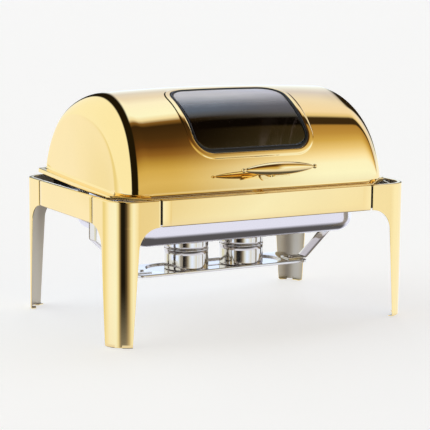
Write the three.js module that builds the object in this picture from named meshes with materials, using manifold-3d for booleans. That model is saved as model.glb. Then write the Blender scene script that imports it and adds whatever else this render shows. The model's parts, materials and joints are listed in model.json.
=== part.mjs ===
// Roll top chafer: a pressed four-leg frame, a rolling half-cylinder lid with a window,
// a water pan with a food pan in it, and a hung shelf with two fuel holders.
// Millimetres, +Z up, -Y is the front. The pieces are drawn about the frame's own centre, and the
// whole is set back at the end so that the origin is the centre of the footprint, handle included.

import * as THREE from 'three';
import { ConvexGeometry } from 'three/addons/geometries/ConvexGeometry.js';
import { mergeVertices } from 'three/addons/utils/BufferGeometryUtils.js';
import Module from 'manifold-3d';

const wasm = await Module();
wasm.setup();

// ---------------------------------------------------------------- driving dimensions
const GAP = 0.3;              // clearance between pieces that touch

const FRAME_X = 320;          // half length over the rails
const FRAME_Y = 215;          // half depth over the rails
const FRAME_TOP = 264;
const FRAME_SHEET = 1.5;
const CORNER_R = 49;          // vertical corner of a leg, seen from above
const RAIL_HEIGHT = 49;
const SEAM = 91;              // from the corner to the end of a leg's arm
const SEAM_GAP = 4.5;
const LAP = 22;               // rail end tucked behind a leg's arm
const LEDGE_SIDE = 10;        // turned-in top edge at the two ends
const LEDGE_FRONT = 6;        // turned-in top edge at front and rear
const RAIL_FOOT = 8;          // turned-in bottom edge of a rail
const ARM_FILLET = 42;        // fillet under a leg's arm
const LEG_SIDE_TOP = 53;      // leg width under the fillet, seen from an end
const LEG_SIDE_FLOOR = 41;
const LEG_FRONT_TOP = 49;     // and seen from the front
const LEG_FRONT_FLOOR = 37;
const TOE = 11;               // depth of a folded toe
const TOE_START = 20;         // toes leave the round corner open
const EDGE_SINK = 0.4;        // how far a turned-in edge starts inside its sheet
const SCREW_Z = 238;          // seam screws
const SCREW_BORE = 2.9;

const SET_BACK = 20;          // from the footprint's centre back to the frame's centre

const PIVOT_Z = 254;          // lid axis height
const LID_PITCH = 2.5;        // degrees that the closed lid leans forward
const LID_SHEET = 1.2;
const BARREL_R = 193;
const LID_X = 286;            // half length of the barrel at the pivot height
const LID_DRAFT = 2.8;        // degrees that the ends lean inwards
const LID_FILLET = 50;        // between the barrel and an end, at the front
const LID_FILLET_REAR = 24;
const FILLET_TURN_START = 81; // degrees round the barrel where the fillet starts to tighten
const FILLET_TURN_STOP = 144;
const RIM_X = 304;
const RIM_Y = 205;
const RIM_R = 56;             // front corners
const RIM_R_REAR = 40;
const RIM_Z = 13.4;           // lower edge of the rim above the pivot
const RIM_DROP = 7;

const WINDOW_X = 123.5;       // half width of the window opening
const WINDOW_MIDDLE = -9;     // the window sits a little to the left
const WINDOW_LOW = 28;        // degrees up from the front horizontal
const WINDOW_HIGH = 82.5;
const WINDOW_R_LOW = 36;
const WINDOW_R_HIGH = 42;
const GASKET_GAP = 0.5;       // clearance round the gasket, over the chords of the corners
const GASKET_SIDE = 5;
const GASKET_LOW = 8.5;
const GASKET_IN = 2;          // how far the gasket reaches in and out of the barrel
const GASKET_OUT = 1.2;
const GLASS_THICK = 2.1;
const RETAINER_WIDE = 9;      // frame that clamps the glass from inside
const RETAINER_FAR = 4.6;
const RETAINER_NEAR = 2.8;

const HANDLE_HALF = 80;
const HANDLE_R = 12;
const HANDLE_TIP_R = 4.2;
const HANDLE_Y = -241;        // handle axis in the lid's own frame
const HANDLE_Z = 68.6;
const HANDLE_FOOT = 14.5;     // degrees up the barrel to the bracket's foot
const HANDLE_SCREW_X = 7;
const BRACKET_THICK = 3;
const BRACKET_FRONT = 20;     // half widths under the bar, at the barrel and of the foot
const BRACKET_BACK = 10;
const BRACKET_FOOT = 14;

const PAN_SHEET = 1;
const WATER_RIM_Z = 243.3;
const WATER_BOTTOM_Z = 164;
const GN_X = 265;             // full size food pan, half of 530 by 325
const GN_Y = 162.5;
const GN_DEPTH = 65;

const RING_X = 271.5;         // pan support ring, outside
const RING_Y = 174.5;
const RING_R = 47;
const RING_SHEET = 2;
const RING_LOW = 227.3;
const RING_HIGH = 243;
const SEAT_X = 256;           // opening that the water pan hangs through
const SEAT_Y = 160;
const SEAT_R = 44;
const HANGER_X = 190;
const HANGER_HALF = 16;

const SHELF_Z = 90;
const SHELF_X = 190;
const SHELF_Y = 53;
const SHELF_R = 14;
const SHELF_SHEET = 1.5;
const SHELF_RISE = 5;
const RECESS_X = 146;
const RECESS_R = 48;
const STRAP_LOW_Y = -34;
const STRAP_HIGH_Y = -2;
const STRAP_TOP_Z = 236;      // top of the tab on the end rail
const STRAP_X = 271;          // where the strap hangs down
const STRAP_BEND_Z = 165;
const STRAP_THICK = 2;

const HOLDER_X = 62;
const HOLDER_R = 43.5;
const HOLDER_BODY = 41.5;
const HOLDER_NECK = 50;
const HOLDER_SHEET = 1.2;
const COVER_TOP = 57;

const PIN_R = 5;
const PIN_INNER_X = 272;
const CLIP_R = 8.5;
const CLIP_X = [274, 275.6];
const BUSH_R = 8;
const BUSH_X = [277, 283];
const EAR_X = [279, 281];
const EAR_HALF = 22;
const EAR_TOP = 50;

// ---------------------------------------------------------------- materials
const metal = (color, roughness) => new THREE.MeshStandardMaterial({ color, roughness, metalness: 1 });
const gold = metal(0xe2b04a, 0.12);
const steel = metal(0xb9bbc2, 0.22);
const darkSteel = metal(0x8d9097, 0.35);
const rubber = new THREE.MeshStandardMaterial({ color: 0x14151a, roughness: 0.6, metalness: 0 });
const glass = new THREE.MeshStandardMaterial({
  color: 0x2b2622, roughness: 0.05, metalness: 0, transparent: true, opacity: 0.6,
});

// ---------------------------------------------------------------- solids
const radians = THREE.MathUtils.degToRad;
const v3 = (x, y, z) => new THREE.Vector3(x, y, z);

// Merges shared vertices and keeps only positions; turns an inside-out skin round.
function closed(geometry) {
  const bare = new THREE.BufferGeometry();
  bare.setAttribute('position', geometry.getAttribute('position').clone());
  if (geometry.index) bare.setIndex(geometry.index.clone());
  const merged = mergeVertices(bare, 1e-4);
  const p = merged.getAttribute('position');
  const index = merged.index.array;
  const [a, b, c] = [v3(), v3(), v3()];
  let volume = 0;
  const kept = [];
  for (let i = 0; i < index.length; i += 3) {
    const [ia, ib, ic] = [index[i], index[i + 1], index[i + 2]];
    if (ia === ib || ib === ic || ic === ia) continue;
    volume += a.fromBufferAttribute(p, ia).dot(
      b.fromBufferAttribute(p, ib).cross(c.fromBufferAttribute(p, ic)));
    kept.push([ia, ib, ic]);
  }
  merged.setIndex(kept.flatMap(([i, j, k]) => (volume < 0 ? [i, k, j] : [i, j, k])));
  return merged;
}

function solid(geometry) {
  const g = closed(geometry);
  return new wasm.Manifold(new wasm.Mesh({
    numProp: 3,
    vertProperties: new Float32Array(g.getAttribute('position').array),
    triVerts: new Uint32Array(g.index.array),
  }));
}

function toGeometry(manifold) {
  const mesh = manifold.getMesh();
  const g = new THREE.BufferGeometry();
  g.setAttribute('position', new THREE.BufferAttribute(mesh.vertProperties, 3));
  g.setIndex(new THREE.BufferAttribute(mesh.triVerts, 1));
  return g;
}

const join = (...parts) => toGeometry(parts.map(solid).reduce((a, b) => a.add(b)));
const cut = (body, ...tools) => toGeometry(tools.map(solid).reduce((a, b) => a.subtract(b), solid(body)));
const common = (a, b) => toGeometry(solid(a).intersect(solid(b)));

function box(low, high) {
  const size = high.map((h, i) => h - low[i]);
  const centre = high.map((h, i) => (h + low[i]) / 2);
  return new THREE.BoxGeometry(...size).translate(...centre);
}

const toShape = (points) => new THREE.Shape(points.map(([a, b]) => new THREE.Vector2(a, b)));

function prism(shape, z0, z1) {
  return new THREE.ExtrudeGeometry(shape, { depth: z1 - z0, bevelEnabled: false }).translate(0, 0, z0);
}

// A profile of (x, z) points carried along Y.
function alongY(points, y0, y1) {
  const g = new THREE.ExtrudeGeometry(toShape(points), { depth: y1 - y0, bevelEnabled: false });
  return g.rotateX(Math.PI / 2).translate(0, y1, 0);
}

// A profile of (y, z) points carried along X.
function alongX(points, x0, x1) {
  const g = new THREE.ExtrudeGeometry(toShape(points), { depth: x1 - x0, bevelEnabled: false });
  const turn = new THREE.Matrix4().makeBasis(v3(0, 1, 0), v3(0, 0, 1), v3(1, 0, 0));
  return g.applyMatrix4(turn).translate(x0, 0, 0);
}

// Points of an arc from one angle to another, in degrees.
function arc(cx, cy, r, from, to, steps) {
  return Array.from({ length: steps + 1 }, (_, i) => {
    const t = radians(from + ((to - from) * i) / steps);
    return [cx + r * Math.cos(t), cy + r * Math.sin(t)];
  });
}

function roundedRect(hx, hy, r, steps = 5) {
  const [x, y] = [hx - r, hy - r];
  return [
    ...arc(x, y, r, 0, 90, steps), ...arc(-x, y, r, 90, 180, steps),
    ...arc(-x, -y, r, 180, 270, steps), ...arc(x, -y, r, 270, 360, steps),
  ];
}

const roundedSlab = (hx, hy, r, z0, z1, steps) => prism(toShape(roundedRect(hx, hy, r, steps)), z0, z1);

function roundedBand(outer, inner, z0, z1) {
  const shape = toShape(roundedRect(...outer));
  shape.holes.push(toShape(roundedRect(...inner)));
  return prism(shape, z0, z1);
}

// A skin over rings that all have the same number of points; both ends are capped.
function loft(rings) {
  const n = rings[0].length;
  const index = [];
  for (let k = 0; k + 1 < rings.length; k += 1) {
    for (let i = 0; i < n; i += 1) {
      const [a, b] = [k * n + i, k * n + ((i + 1) % n)];
      index.push(a, b, b + n, a, b + n, a + n);
    }
  }
  const last = (rings.length - 1) * n;
  for (let i = 1; i + 1 < n; i += 1) {
    index.push(0, i + 1, i, last, last + i, last + i + 1);
  }
  const g = new THREE.BufferGeometry();
  g.setAttribute('position', new THREE.Float32BufferAttribute(rings.flat(2), 3));
  g.setIndex(index);
  return g;
}

const ringAt = ([hx, hy, r, z], steps) => roundedRect(hx, hy, r, steps).map(([x, y]) => [x, y, z]);

// A bent strip of even thickness round a centre line of (a, b) points.
function strip(line, thickness) {
  const side = (sign) => line.map(([a, b], i) => {
    const [pa, pb] = line[Math.max(i - 1, 0)];
    const [na, nb] = line[Math.min(i + 1, line.length - 1)];
    const u = new THREE.Vector2(a - pa, b - pb).normalize();
    const w = new THREE.Vector2(na - a, nb - b).normalize();
    if (i === 0) u.copy(w);
    if (i === line.length - 1) w.copy(u);
    const n = new THREE.Vector2(-u.y - w.y, u.x + w.x).normalize();
    const reach = (sign * thickness) / 2 / (n.x * -u.y + n.y * u.x);
    return [a + n.x * reach, b + n.y * reach];
  });
  return [...side(1), ...side(-1).reverse()];
}

// A turned piece: (radius, height) points round +Z that start and end on the axis or close.
function turned(points, segments = 16) {
  return new THREE.LatheGeometry(points.map(([r, z]) => new THREE.Vector2(r, z)), segments)
    .rotateX(Math.PI / 2);
}

// A flat ring about +Z between two radii and two heights.
const washer = (inner, outer, [z0, z1]) => turned(
  [[inner, z0], [outer, z0], [outer, z1], [inner, z1], [inner, z0]]);

const facingX = (geometry, sign) => geometry.rotateY((sign * Math.PI) / 2);

// ---------------------------------------------------------------- scene
const chafer = new THREE.Group();
const lid = new THREE.Group();
lid.position.set(0, 0, PIVOT_Z);
lid.rotation.x = radians(LID_PITCH);
chafer.add(lid);

function place(parent, name, geometry, material, position = [0, 0, 0]) {
  const mesh = new THREE.Mesh(closed(geometry), material);
  mesh.name = name;
  mesh.position.set(...position);
  parent.add(mesh);
}

const SIDES = [['left', -1], ['right', 1]];
const ENDS = [['front', -1], ['rear', 1]];

// ---------------------------------------------------------------- frame
const outline = (inset) => [FRAME_X - inset, FRAME_Y - inset, CORNER_R - inset];

// One pressed corner leg: a sheet round the corner with two arms, a top ledge and two toes.
function legGeometry(sx, sy) {
  const skin = roundedBand(outline(0), outline(FRAME_SHEET), 0, FRAME_TOP);
  const ledge = roundedBand(outline(EDGE_SINK),
    [FRAME_X - LEDGE_SIDE, FRAME_Y - LEDGE_FRONT, CORNER_R], FRAME_TOP - FRAME_SHEET, FRAME_TOP);
  const toes = roundedBand(outline(EDGE_SINK), outline(TOE), 0, FRAME_SHEET);
  const corner = (depth, z0, z1) => {
    const span = (sign, half) => [sign * (half - depth), sign * (half + 1)].sort((a, b) => a - b);
    const [xs, ys] = [span(sx, FRAME_X), span(sy, FRAME_Y)];
    return box([xs[0], ys[0], z0], [xs[1], ys[1], z1]);
  };
  const openCorner = corner(TOE_START, -1, FRAME_SHEET + 1);
  const sheet = join(skin, ledge, cut(toes, openCorner));
  const blank = common(sheet, corner(SEAM, -1, FRAME_TOP + 1));
  const railLow = FRAME_TOP - RAIL_HEIGHT;
  const cutter = (half, sign, top, floor) => [
    [half - floor, -1], [half - floor, 0],
    ...arc(half - top - ARM_FILLET, railLow - ARM_FILLET, ARM_FILLET, 0, 90, 6),
    [half - SEAM - ARM_FILLET, railLow], [half - SEAM - ARM_FILLET, -1],
  ].map(([a, z]) => [sign * a, z]);
  return cut(blank,
    alongY(cutter(FRAME_X, sx, LEG_FRONT_TOP, LEG_FRONT_FLOOR), -FRAME_Y - 1, FRAME_Y + 1),
    alongX(cutter(FRAME_Y, sy, LEG_SIDE_TOP, LEG_SIDE_FLOOR), -FRAME_X - 1, FRAME_X + 1));
}

for (const [end, sy] of ENDS) {
  for (const [side, sx] of SIDES) {
    place(chafer, `leg_${end}_${side}`, legGeometry(sx, sy), gold);
  }
}

// One rail, drawn as the front rail of a frame with the given half length and half depth:
// a web with joggled ends behind the arms, a top ledge and a turned-in foot.
const SCREW_INSET = SEAM - LAP / 2;
const LAP_Y = FRAME_SHEET + GAP;
function railGeometry(halfLength, halfDepth, ledge) {
  const end = halfLength - SEAM - SEAM_GAP;
  const tuck = halfLength - SEAM + LAP;
  const [y0, y1] = [-halfDepth, -halfDepth + LAP_Y];
  const half = [[0, y0], [end - LAP_Y, y0], [end, y1], [tuck, y1],
    [tuck, y1 + FRAME_SHEET], [end - FRAME_SHEET, y1 + FRAME_SHEET],
    [end - FRAME_SHEET - LAP_Y, y0 + FRAME_SHEET], [0, y0 + FRAME_SHEET]];
  const mirrored = half.slice(1, -1).reverse().map(([x, y]) => [-x, y]);
  const low = FRAME_TOP - RAIL_HEIGHT;
  const web = prism(toShape([...half, ...mirrored]), low, FRAME_TOP);
  const laps = [-1, 1].map((s) => box(
    [s > 0 ? end : -tuck - 1, -halfDepth, FRAME_TOP - 2 * FRAME_SHEET],
    [s > 0 ? tuck + 1 : -end, -halfDepth + 10, FRAME_TOP + 1]));
  const run = end - 2 * LAP_Y;
  const top = box([-run, y0 + EDGE_SINK, FRAME_TOP - FRAME_SHEET], [run, y0 + ledge, FRAME_TOP]);
  const foot = box([-run, y0 + EDGE_SINK, low], [run, y0 + RAIL_FOOT, low + FRAME_SHEET]);
  const holes = [-1, 1].map((s) => new THREE.CylinderGeometry(SCREW_BORE, SCREW_BORE, 8, 12)
    .translate(s * (halfLength - SCREW_INSET), y1, SCREW_Z));
  return cut(join(cut(web, ...laps), top, foot), ...holes);
}

place(chafer, 'rail_front', railGeometry(FRAME_X, FRAME_Y, LEDGE_FRONT), gold);
place(chafer, 'rail_rear', railGeometry(FRAME_X, FRAME_Y, LEDGE_FRONT).rotateZ(Math.PI), gold);
place(chafer, 'rail_left', railGeometry(FRAME_Y, FRAME_X, LEDGE_SIDE).rotateZ(-Math.PI / 2), gold);
place(chafer, 'rail_right', railGeometry(FRAME_Y, FRAME_X, LEDGE_SIDE).rotateZ(Math.PI / 2), gold);

// A screw through each lap, its head on the inside. It points along +Y, head first.
function seamScrew() {
  const headAt = 2 * FRAME_SHEET + 2 * GAP;
  return turned([[0, FRAME_SHEET + GAP], [2.5, FRAME_SHEET + GAP], [2.5, headAt],
    [5, headAt], [5, headAt + 2.4], [0, headAt + 2.4]], 12).rotateX(-Math.PI / 2);
}
for (const [end, sy] of ENDS) {
  for (const [side, sx] of SIDES) {
    const along = seamScrew().rotateZ(sy > 0 ? Math.PI : 0);
    place(chafer, `screw_${end}_${side}`, along, darkSteel,
      [sx * (FRAME_X - SCREW_INSET), sy * FRAME_Y, SCREW_Z]);
    const across = seamScrew().rotateZ(sx > 0 ? Math.PI / 2 : -Math.PI / 2);
    place(chafer, `screw_${side}_${end}`, across, darkSteel,
      [sx * FRAME_X, sy * (FRAME_Y - SCREW_INSET), SCREW_Z]);
  }
}

// ---------------------------------------------------------------- pan support and fuel shelf
function supportRing() {
  const ring = (inset) => [RING_X - inset, RING_Y - inset, RING_R - inset];
  const band = roundedBand(ring(0), ring(RING_SHEET), RING_LOW, RING_HIGH);
  const seat = roundedBand(ring(EDGE_SINK), [SEAT_X, SEAT_Y, SEAT_R], RING_HIGH - FRAME_SHEET, RING_HIGH);
  return join(band, seat);
}
place(chafer, 'pan_support_ring', supportRing(), darkSteel);

const ARM_Z = RING_LOW - GAP - STRAP_THICK / 2;
const SHELF_TOP = SHELF_Z + SHELF_RISE;
const STRAP_END_Z = SHELF_TOP + GAP + STRAP_THICK / 2;
const RIVET_X = 168;
const STRAP_MID_Y = (STRAP_LOW_Y + STRAP_HIGH_Y) / 2;

const hole = (r, x, y, z0, z1) => new THREE.CylinderGeometry(r, r, z1 - z0, 12)
  .rotateX(Math.PI / 2).translate(x, y, (z0 + z1) / 2);

// A strap that runs from an end rail inwards, down, and slantwise to the fuel shelf.
function strapGeometry(sign) {
  const wall = FRAME_X - FRAME_SHEET - GAP - STRAP_THICK / 2;
  const line = [[wall, STRAP_TOP_Z], [wall, ARM_Z], [STRAP_X, ARM_Z], [STRAP_X, STRAP_BEND_Z],
    [SHELF_X + 6, STRAP_END_Z], [RECESS_X + 8, STRAP_END_Z]].map(([x, z]) => [sign * x, z]);
  return cut(alongY(strip(line, STRAP_THICK), STRAP_LOW_Y, STRAP_HIGH_Y),
    hole(SCREW_BORE, sign * RIVET_X, STRAP_MID_Y, SHELF_TOP, SHELF_TOP + 6));
}

function shelfGeometry() {
  const t = SHELF_SHEET;
  const body = roundedSlab(SHELF_X, SHELF_Y, SHELF_R, SHELF_Z, SHELF_TOP);
  const under = roundedSlab(SHELF_X - t, SHELF_Y - t, SHELF_R - t, SHELF_Z - 1, SHELF_TOP - t);
  const dish = roundedSlab(RECESS_X, RECESS_R, RECESS_R - 0.1, SHELF_Z, SHELF_TOP, 8);
  const hollow = roundedSlab(RECESS_X - t, RECESS_R - t, RECESS_R - t - 0.1, SHELF_Z + t, SHELF_TOP + 1, 8);
  const holes = [-1, 1].map((s) => hole(SCREW_BORE, s * RIVET_X, STRAP_MID_Y, SHELF_Z, SHELF_TOP + 1));
  return cut(join(cut(body, under), dish), hollow, ...holes);
}
place(chafer, 'fuel_shelf', shelfGeometry(), steel);

// A bracket from the front rail to the front of the support ring.
function frontHanger() {
  const wall = -FRAME_Y + FRAME_SHEET + GAP + STRAP_THICK / 2;
  const line = [[wall, 246], [wall, ARM_Z], [-RING_Y + 6, ARM_Z]];
  return alongX(strip(line, STRAP_THICK), -HANGER_HALF, HANGER_HALF);
}

for (const [side, sx] of SIDES) {
  place(chafer, `strap_${side}`, strapGeometry(sx), steel);
  place(chafer, `front_hanger_${side}`, frontHanger(), darkSteel, [sx * HANGER_X, 0, 0]);
  const top = STRAP_END_Z + STRAP_THICK / 2 + GAP;
  place(chafer, `shelf_rivet_${side}`, turned([[0, SHELF_Z + 1], [2.5, SHELF_Z + 1], [2.5, top],
    [4.5, top], [3, top + 1.8], [0, top + 2.2]], 16), steel, [sx * RIVET_X, STRAP_MID_Y, 0]);
}

// ---------------------------------------------------------------- lid pivots on the frame
const PLATE_X = FRAME_X - FRAME_SHEET - GAP;      // outer face of a pivot plate
const PLATE_T = 4;
for (const [side, sx] of SIDES) {
  const plate = box([PLATE_X - PLATE_T, -12, 238], [PLATE_X, 24, FRAME_TOP - FRAME_SHEET - GAP]);
  const bore = facingX(new THREE.CylinderGeometry(PIN_R + GAP, PIN_R + GAP, 12, 16).rotateX(Math.PI / 2), 1)
    .translate(PLATE_X, 0, PIVOT_Z);
  const drilled = cut(plate, bore);
  place(chafer, `pivot_plate_${side}`, sx > 0 ? drilled : drilled.clone().scale(-1, 1, 1), darkSteel);
  const collar = PLATE_X - PLATE_T - GAP;
  const pin = facingX(turned([[0, PIN_INNER_X], [PIN_R, PIN_INNER_X], [PIN_R, collar - 3],
    [BUSH_R, collar - 3], [BUSH_R, collar], [PIN_R, collar], [PIN_R, PLATE_X], [0, PLATE_X]]), sx);
  place(chafer, `pivot_pin_${side}`, pin, steel, [0, 0, PIVOT_Z]);
  const clip = facingX(washer(PIN_R + GAP, CLIP_R, CLIP_X), sx);
  place(chafer, `pivot_clip_${side}`, clip, darkSteel, [0, 0, PIVOT_Z]);
}

// ---------------------------------------------------------------- pans
// A deep pan from the middle of its bottom, up the outside, over the rim and down the inside.
function panGeometry({ x, y, r, rimX, rimY, rimR, rimZ, bottomZ, draft, bottomR }) {
  const wall = (z, inset) => {
    const shrink = (rimZ - z) * draft + inset;
    return [x - shrink, y - shrink, r - shrink * 0.35];
  };
  const bowl = (inset) => [0, 30, 60, 90].map((a) => {
    const rr = bottomR - inset;
    const z = bottomZ + bottomR - rr * Math.cos(radians(a));
    const [hx, hy, hr] = wall(bottomZ + bottomR, inset);
    const pull = rr * (1 - Math.sin(radians(a)));
    return [hx - pull, hy - pull, Math.max(hr - pull, 6), z];
  });
  const rings = [
    ...bowl(0),
    [...wall(rimZ, 0), rimZ], [rimX, rimY, rimR, rimZ], [rimX, rimY, rimR, rimZ + PAN_SHEET],
    [...wall(rimZ, PAN_SHEET), rimZ + PAN_SHEET],
    ...bowl(PAN_SHEET).reverse(),
  ];
  return loft(rings.map((ring) => ringAt(ring, 4)));
}

place(chafer, 'water_pan', panGeometry({
  x: 248.8, y: 155, r: 44, rimX: 267, rimY: 170, rimR: 44, rimZ: WATER_RIM_Z,
  bottomZ: WATER_BOTTOM_Z, draft: 0.12, bottomR: 29,
}), steel);

const FOOD_RIM_Z = WATER_RIM_Z + PAN_SHEET + GAP;
place(chafer, 'food_pan', panGeometry({
  x: 245, y: 147, r: 42, rimX: GN_X, rimY: GN_Y, rimR: 40, rimZ: FOOD_RIM_Z,
  bottomZ: FOOD_RIM_Z - GN_DEPTH, draft: 0.1, bottomR: 18,
}), steel);

// ---------------------------------------------------------------- fuel holders
const HOLDER_Z = SHELF_Z + SHELF_SHEET + GAP;

function holderGeometry() {
  const w = HOLDER_SHEET;
  return turned([[0, 0], [HOLDER_R, 0], [HOLDER_R, HOLDER_BODY - 3], [HOLDER_R + 0.8, HOLDER_BODY - 1.5],
    [HOLDER_R, HOLDER_BODY], [HOLDER_R - 2, HOLDER_BODY], [HOLDER_R - 2, HOLDER_NECK],
    [HOLDER_R - 2 - w, HOLDER_NECK], [HOLDER_R - 2 - w, w], [0, w]], 24);
}

function coverGeometry() {
  const w = HOLDER_SHEET;
  const low = HOLDER_BODY + GAP;
  return turned([[0, COVER_TOP - w], [HOLDER_R - w, COVER_TOP - w], [HOLDER_R - w, low],
    [HOLDER_R, low], [HOLDER_R, COVER_TOP - 1], [HOLDER_R - 1, COVER_TOP], [0, COVER_TOP]], 24);
}

// A small finger tab on the side of a cover.
function coverTab() {
  const z = COVER_TOP - 9;
  const foot = HOLDER_R + GAP;
  const t = HOLDER_SHEET;
  const profile = [[foot, z - 5], [foot + t, z - 5], [foot + t, z], [foot + 15, z],
    [foot + 15, z + t], [foot, z + t]];
  return alongY(profile, -6, 6);
}

for (const [side, sx] of SIDES) {
  const at = [sx * HOLDER_X, 0, HOLDER_Z];
  place(chafer, `fuel_holder_${side}`, holderGeometry(), steel, at);
  place(chafer, `fuel_cover_${side}`, coverGeometry(), steel, at);
  place(chafer, `cover_tab_${side}`, coverTab(), steel, at);
}

// ---------------------------------------------------------------- lid
// The end fillet's radius, which tightens from the front round to the rear.
function filletAt(a) {
  const t = THREE.MathUtils.smoothstep(a, FILLET_TURN_START, FILLET_TURN_STOP);
  return LID_FILLET + (LID_FILLET_REAR - LID_FILLET) * t;
}

// The barrel as one convex body: drafted ends, a round back, and a fillet between them.
function barrelBody(inset, low) {
  const r = BARREL_R - inset;
  const points = [];
  for (let a = -15; a <= 195; a += 7.5) {
    const fillet = filletAt(a) - inset;
    for (const b of [0, 22.5, 45, 67.5, 90]) {
      const rho = r - fillet + fillet * Math.sin(radians(b));
      const [y, z] = [rho * Math.cos(radians(a)), rho * Math.sin(radians(a))];
      const pull = fillet * (1 - Math.cos(radians(b)));
      const x = LID_X - inset - z * Math.tan(radians(LID_DRAFT)) - pull;
      points.push(v3(x, y, z), v3(-x, y, z));
    }
  }
  const big = 2 * LID_X;
  return cut(new ConvexGeometry(points), box([-big, -big, -big], [big, big, low]));
}

// A patch of the barrel between two radii with the window's outline, moved inwards by the insets.
function windowPatch(side, lowEdge, highEdge, r0, r1) {
  const start = radians(WINDOW_LOW) * BARREL_R + lowEdge;
  const stop = radians(WINDOW_HIGH) * BARREL_R - highEdge;
  const x = WINDOW_X - side;
  const [rl, rh] = [WINDOW_R_LOW - side, WINDOW_R_HIGH - side];
  const rows = [
    ...arc(0, 0, rl, 0, 90, 5).map(([a, b]) => [start + rl - a, x - rl + b]),
    ...[1, 2, 3, 4, 5].map((i) => [start + rl + ((stop - rh - start - rl) * i) / 6, x]),
    ...arc(0, 0, rh, 90, 0, 5).map(([a, b]) => [stop - rh + a, x - rh + b]),
  ];
  return loft(rows.map(([s, w]) => {
    const t = s / BARREL_R;
    return [[-w, r0], [w, r0], [w, r1], [-w, r1]]
      .map(([px, r]) => [WINDOW_MIDDLE + px, -r * Math.cos(t), r * Math.sin(t)]);
  }));
}

// Turns something drawn along +Z so that it points out of the barrel's front at an angle.
const atBarrel = (geometry, degrees) => geometry.rotateX(Math.PI / 2 - radians(degrees));

function screwHole(x) {
  const bore = hole(2.6, 0, 0, BARREL_R - 8, BARREL_R + 12);
  return atBarrel(bore, HANDLE_FOOT).translate(x, 0, 0);
}

// The rim's outline, with tighter corners at the rear.
function rimSlab(inset, z0, z1) {
  const front = roundedRect(RIM_X - inset, RIM_Y - inset, RIM_R - inset);
  const rear = roundedRect(RIM_X - inset, RIM_Y - inset, RIM_R_REAR - inset);
  const outlineXY = [...rear.filter(([, y]) => y > 0), ...front.filter(([, y]) => y < 0)];
  return prism(toShape(outlineXY), z0, z1);
}

function lidShell() {
  const flangeLow = RIM_Z + RIM_DROP - LID_SHEET;
  const rim = rimSlab(0, RIM_Z, RIM_Z + RIM_DROP);
  const underRim = rimSlab(LID_SHEET, RIM_Z - 1, flangeLow);
  return cut(join(barrelBody(0, RIM_Z + 2), rim), underRim, barrelBody(LID_SHEET, RIM_Z - 2),
    windowPatch(0, 0, 0, BARREL_R - 20, BARREL_R + 20),
    screwHole(-HANDLE_SCREW_X), screwHole(HANDLE_SCREW_X));
}
place(lid, 'lid_shell', lidShell(), gold);

place(lid, 'window_gasket', cut(
  windowPatch(GASKET_GAP, GASKET_GAP, GASKET_GAP, BARREL_R - GASKET_IN, BARREL_R + GASKET_OUT),
  windowPatch(GASKET_SIDE, GASKET_LOW, GASKET_SIDE, BARREL_R - 10, BARREL_R + 10)), rubber);

const GLASS_SIDE = GASKET_SIDE + GASKET_GAP;
place(lid, 'window_glass', windowPatch(GLASS_SIDE, GASKET_LOW + GASKET_GAP, GLASS_SIDE,
  BARREL_R - GLASS_THICK, BARREL_R), glass);

place(lid, 'window_retainer', cut(
  windowPatch(-RETAINER_WIDE, -RETAINER_WIDE, -RETAINER_WIDE,
    BARREL_R - RETAINER_FAR, BARREL_R - RETAINER_NEAR),
  windowPatch(GASKET_SIDE + 2, GASKET_LOW + 2, GASKET_SIDE + 2, BARREL_R - 12, BARREL_R + 6)), darkSteel);

// A spindle: thick in the middle, thin necks and a ball at each tip.
function handleBar() {
  const neck = HANDLE_HALF - 2.2 * HANDLE_TIP_R;
  const body = Array.from({ length: 9 }, (_, i) => {
    const x = -neck + (2 * neck * i) / 8;
    const swell = 1 - (x / neck) ** 2;
    return [HANDLE_TIP_R * 0.8 + (HANDLE_R - HANDLE_TIP_R * 0.8) * swell ** 0.85, x];
  });
  const ball = arc(0, 0, HANDLE_TIP_R, -60, 60, 2);
  const tip = ball.map(([r, x]) => [r, HANDLE_HALF - HANDLE_TIP_R + x]);
  const tail = tip.map(([r, x]) => [r, -x]).reverse();
  return facingX(turned([[0, -HANDLE_HALF], ...tail, ...body, ...tip, [0, HANDLE_HALF]], 14), 1);
}
place(lid, 'handle_bar', handleBar(), gold, [0, HANDLE_Y, HANDLE_Z]);

// A bracket that is wide under the bar and narrow at its foot on the barrel.
function handleBracket() {
  const t = BRACKET_THICK;
  const foot = atBarrel(box([-BRACKET_FOOT, -12, BARREL_R + GAP],
    [BRACKET_FOOT, 12, BARREL_R + GAP + t]), HANDLE_FOOT);
  const under = HANDLE_Z - HANDLE_R - GAP;
  const inner = BARREL_R + GAP + t / 2;
  const fy = -inner * Math.cos(radians(HANDLE_FOOT));
  const fz = inner * Math.sin(radians(HANDLE_FOOT));
  const arm = new ConvexGeometry([-1, 1].flatMap((s) => [
    v3(s * BRACKET_FRONT, HANDLE_Y - 5, under), v3(s * BRACKET_FRONT, HANDLE_Y - 5, under - t),
    v3(s * BRACKET_FRONT, HANDLE_Y + 5, under), v3(s * BRACKET_FRONT, HANDLE_Y + 5, under - t),
    v3(s * BRACKET_BACK, fy, fz + t / 2), v3(s * BRACKET_BACK, fy, fz - t / 2),
  ]));
  const screws = [-1, 1].map((s) => screwHole(s * HANDLE_SCREW_X));
  return cut(join(foot, arm), ...screws);
}
place(lid, 'handle_bracket', handleBracket(), gold);

for (const [side, sx] of SIDES) {
  const head = BARREL_R - LID_SHEET - 1.2;
  place(lid, `handle_screw_${side}`, atBarrel(turned([[0, head - 2.4], [4, head - 2.4], [4.4, head],
    [2.2, head], [2.2, BARREL_R + 3], [0, BARREL_R + 3]], 12), HANDLE_FOOT), darkSteel,
  [sx * HANDLE_SCREW_X, 0, 0]);
}

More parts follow.
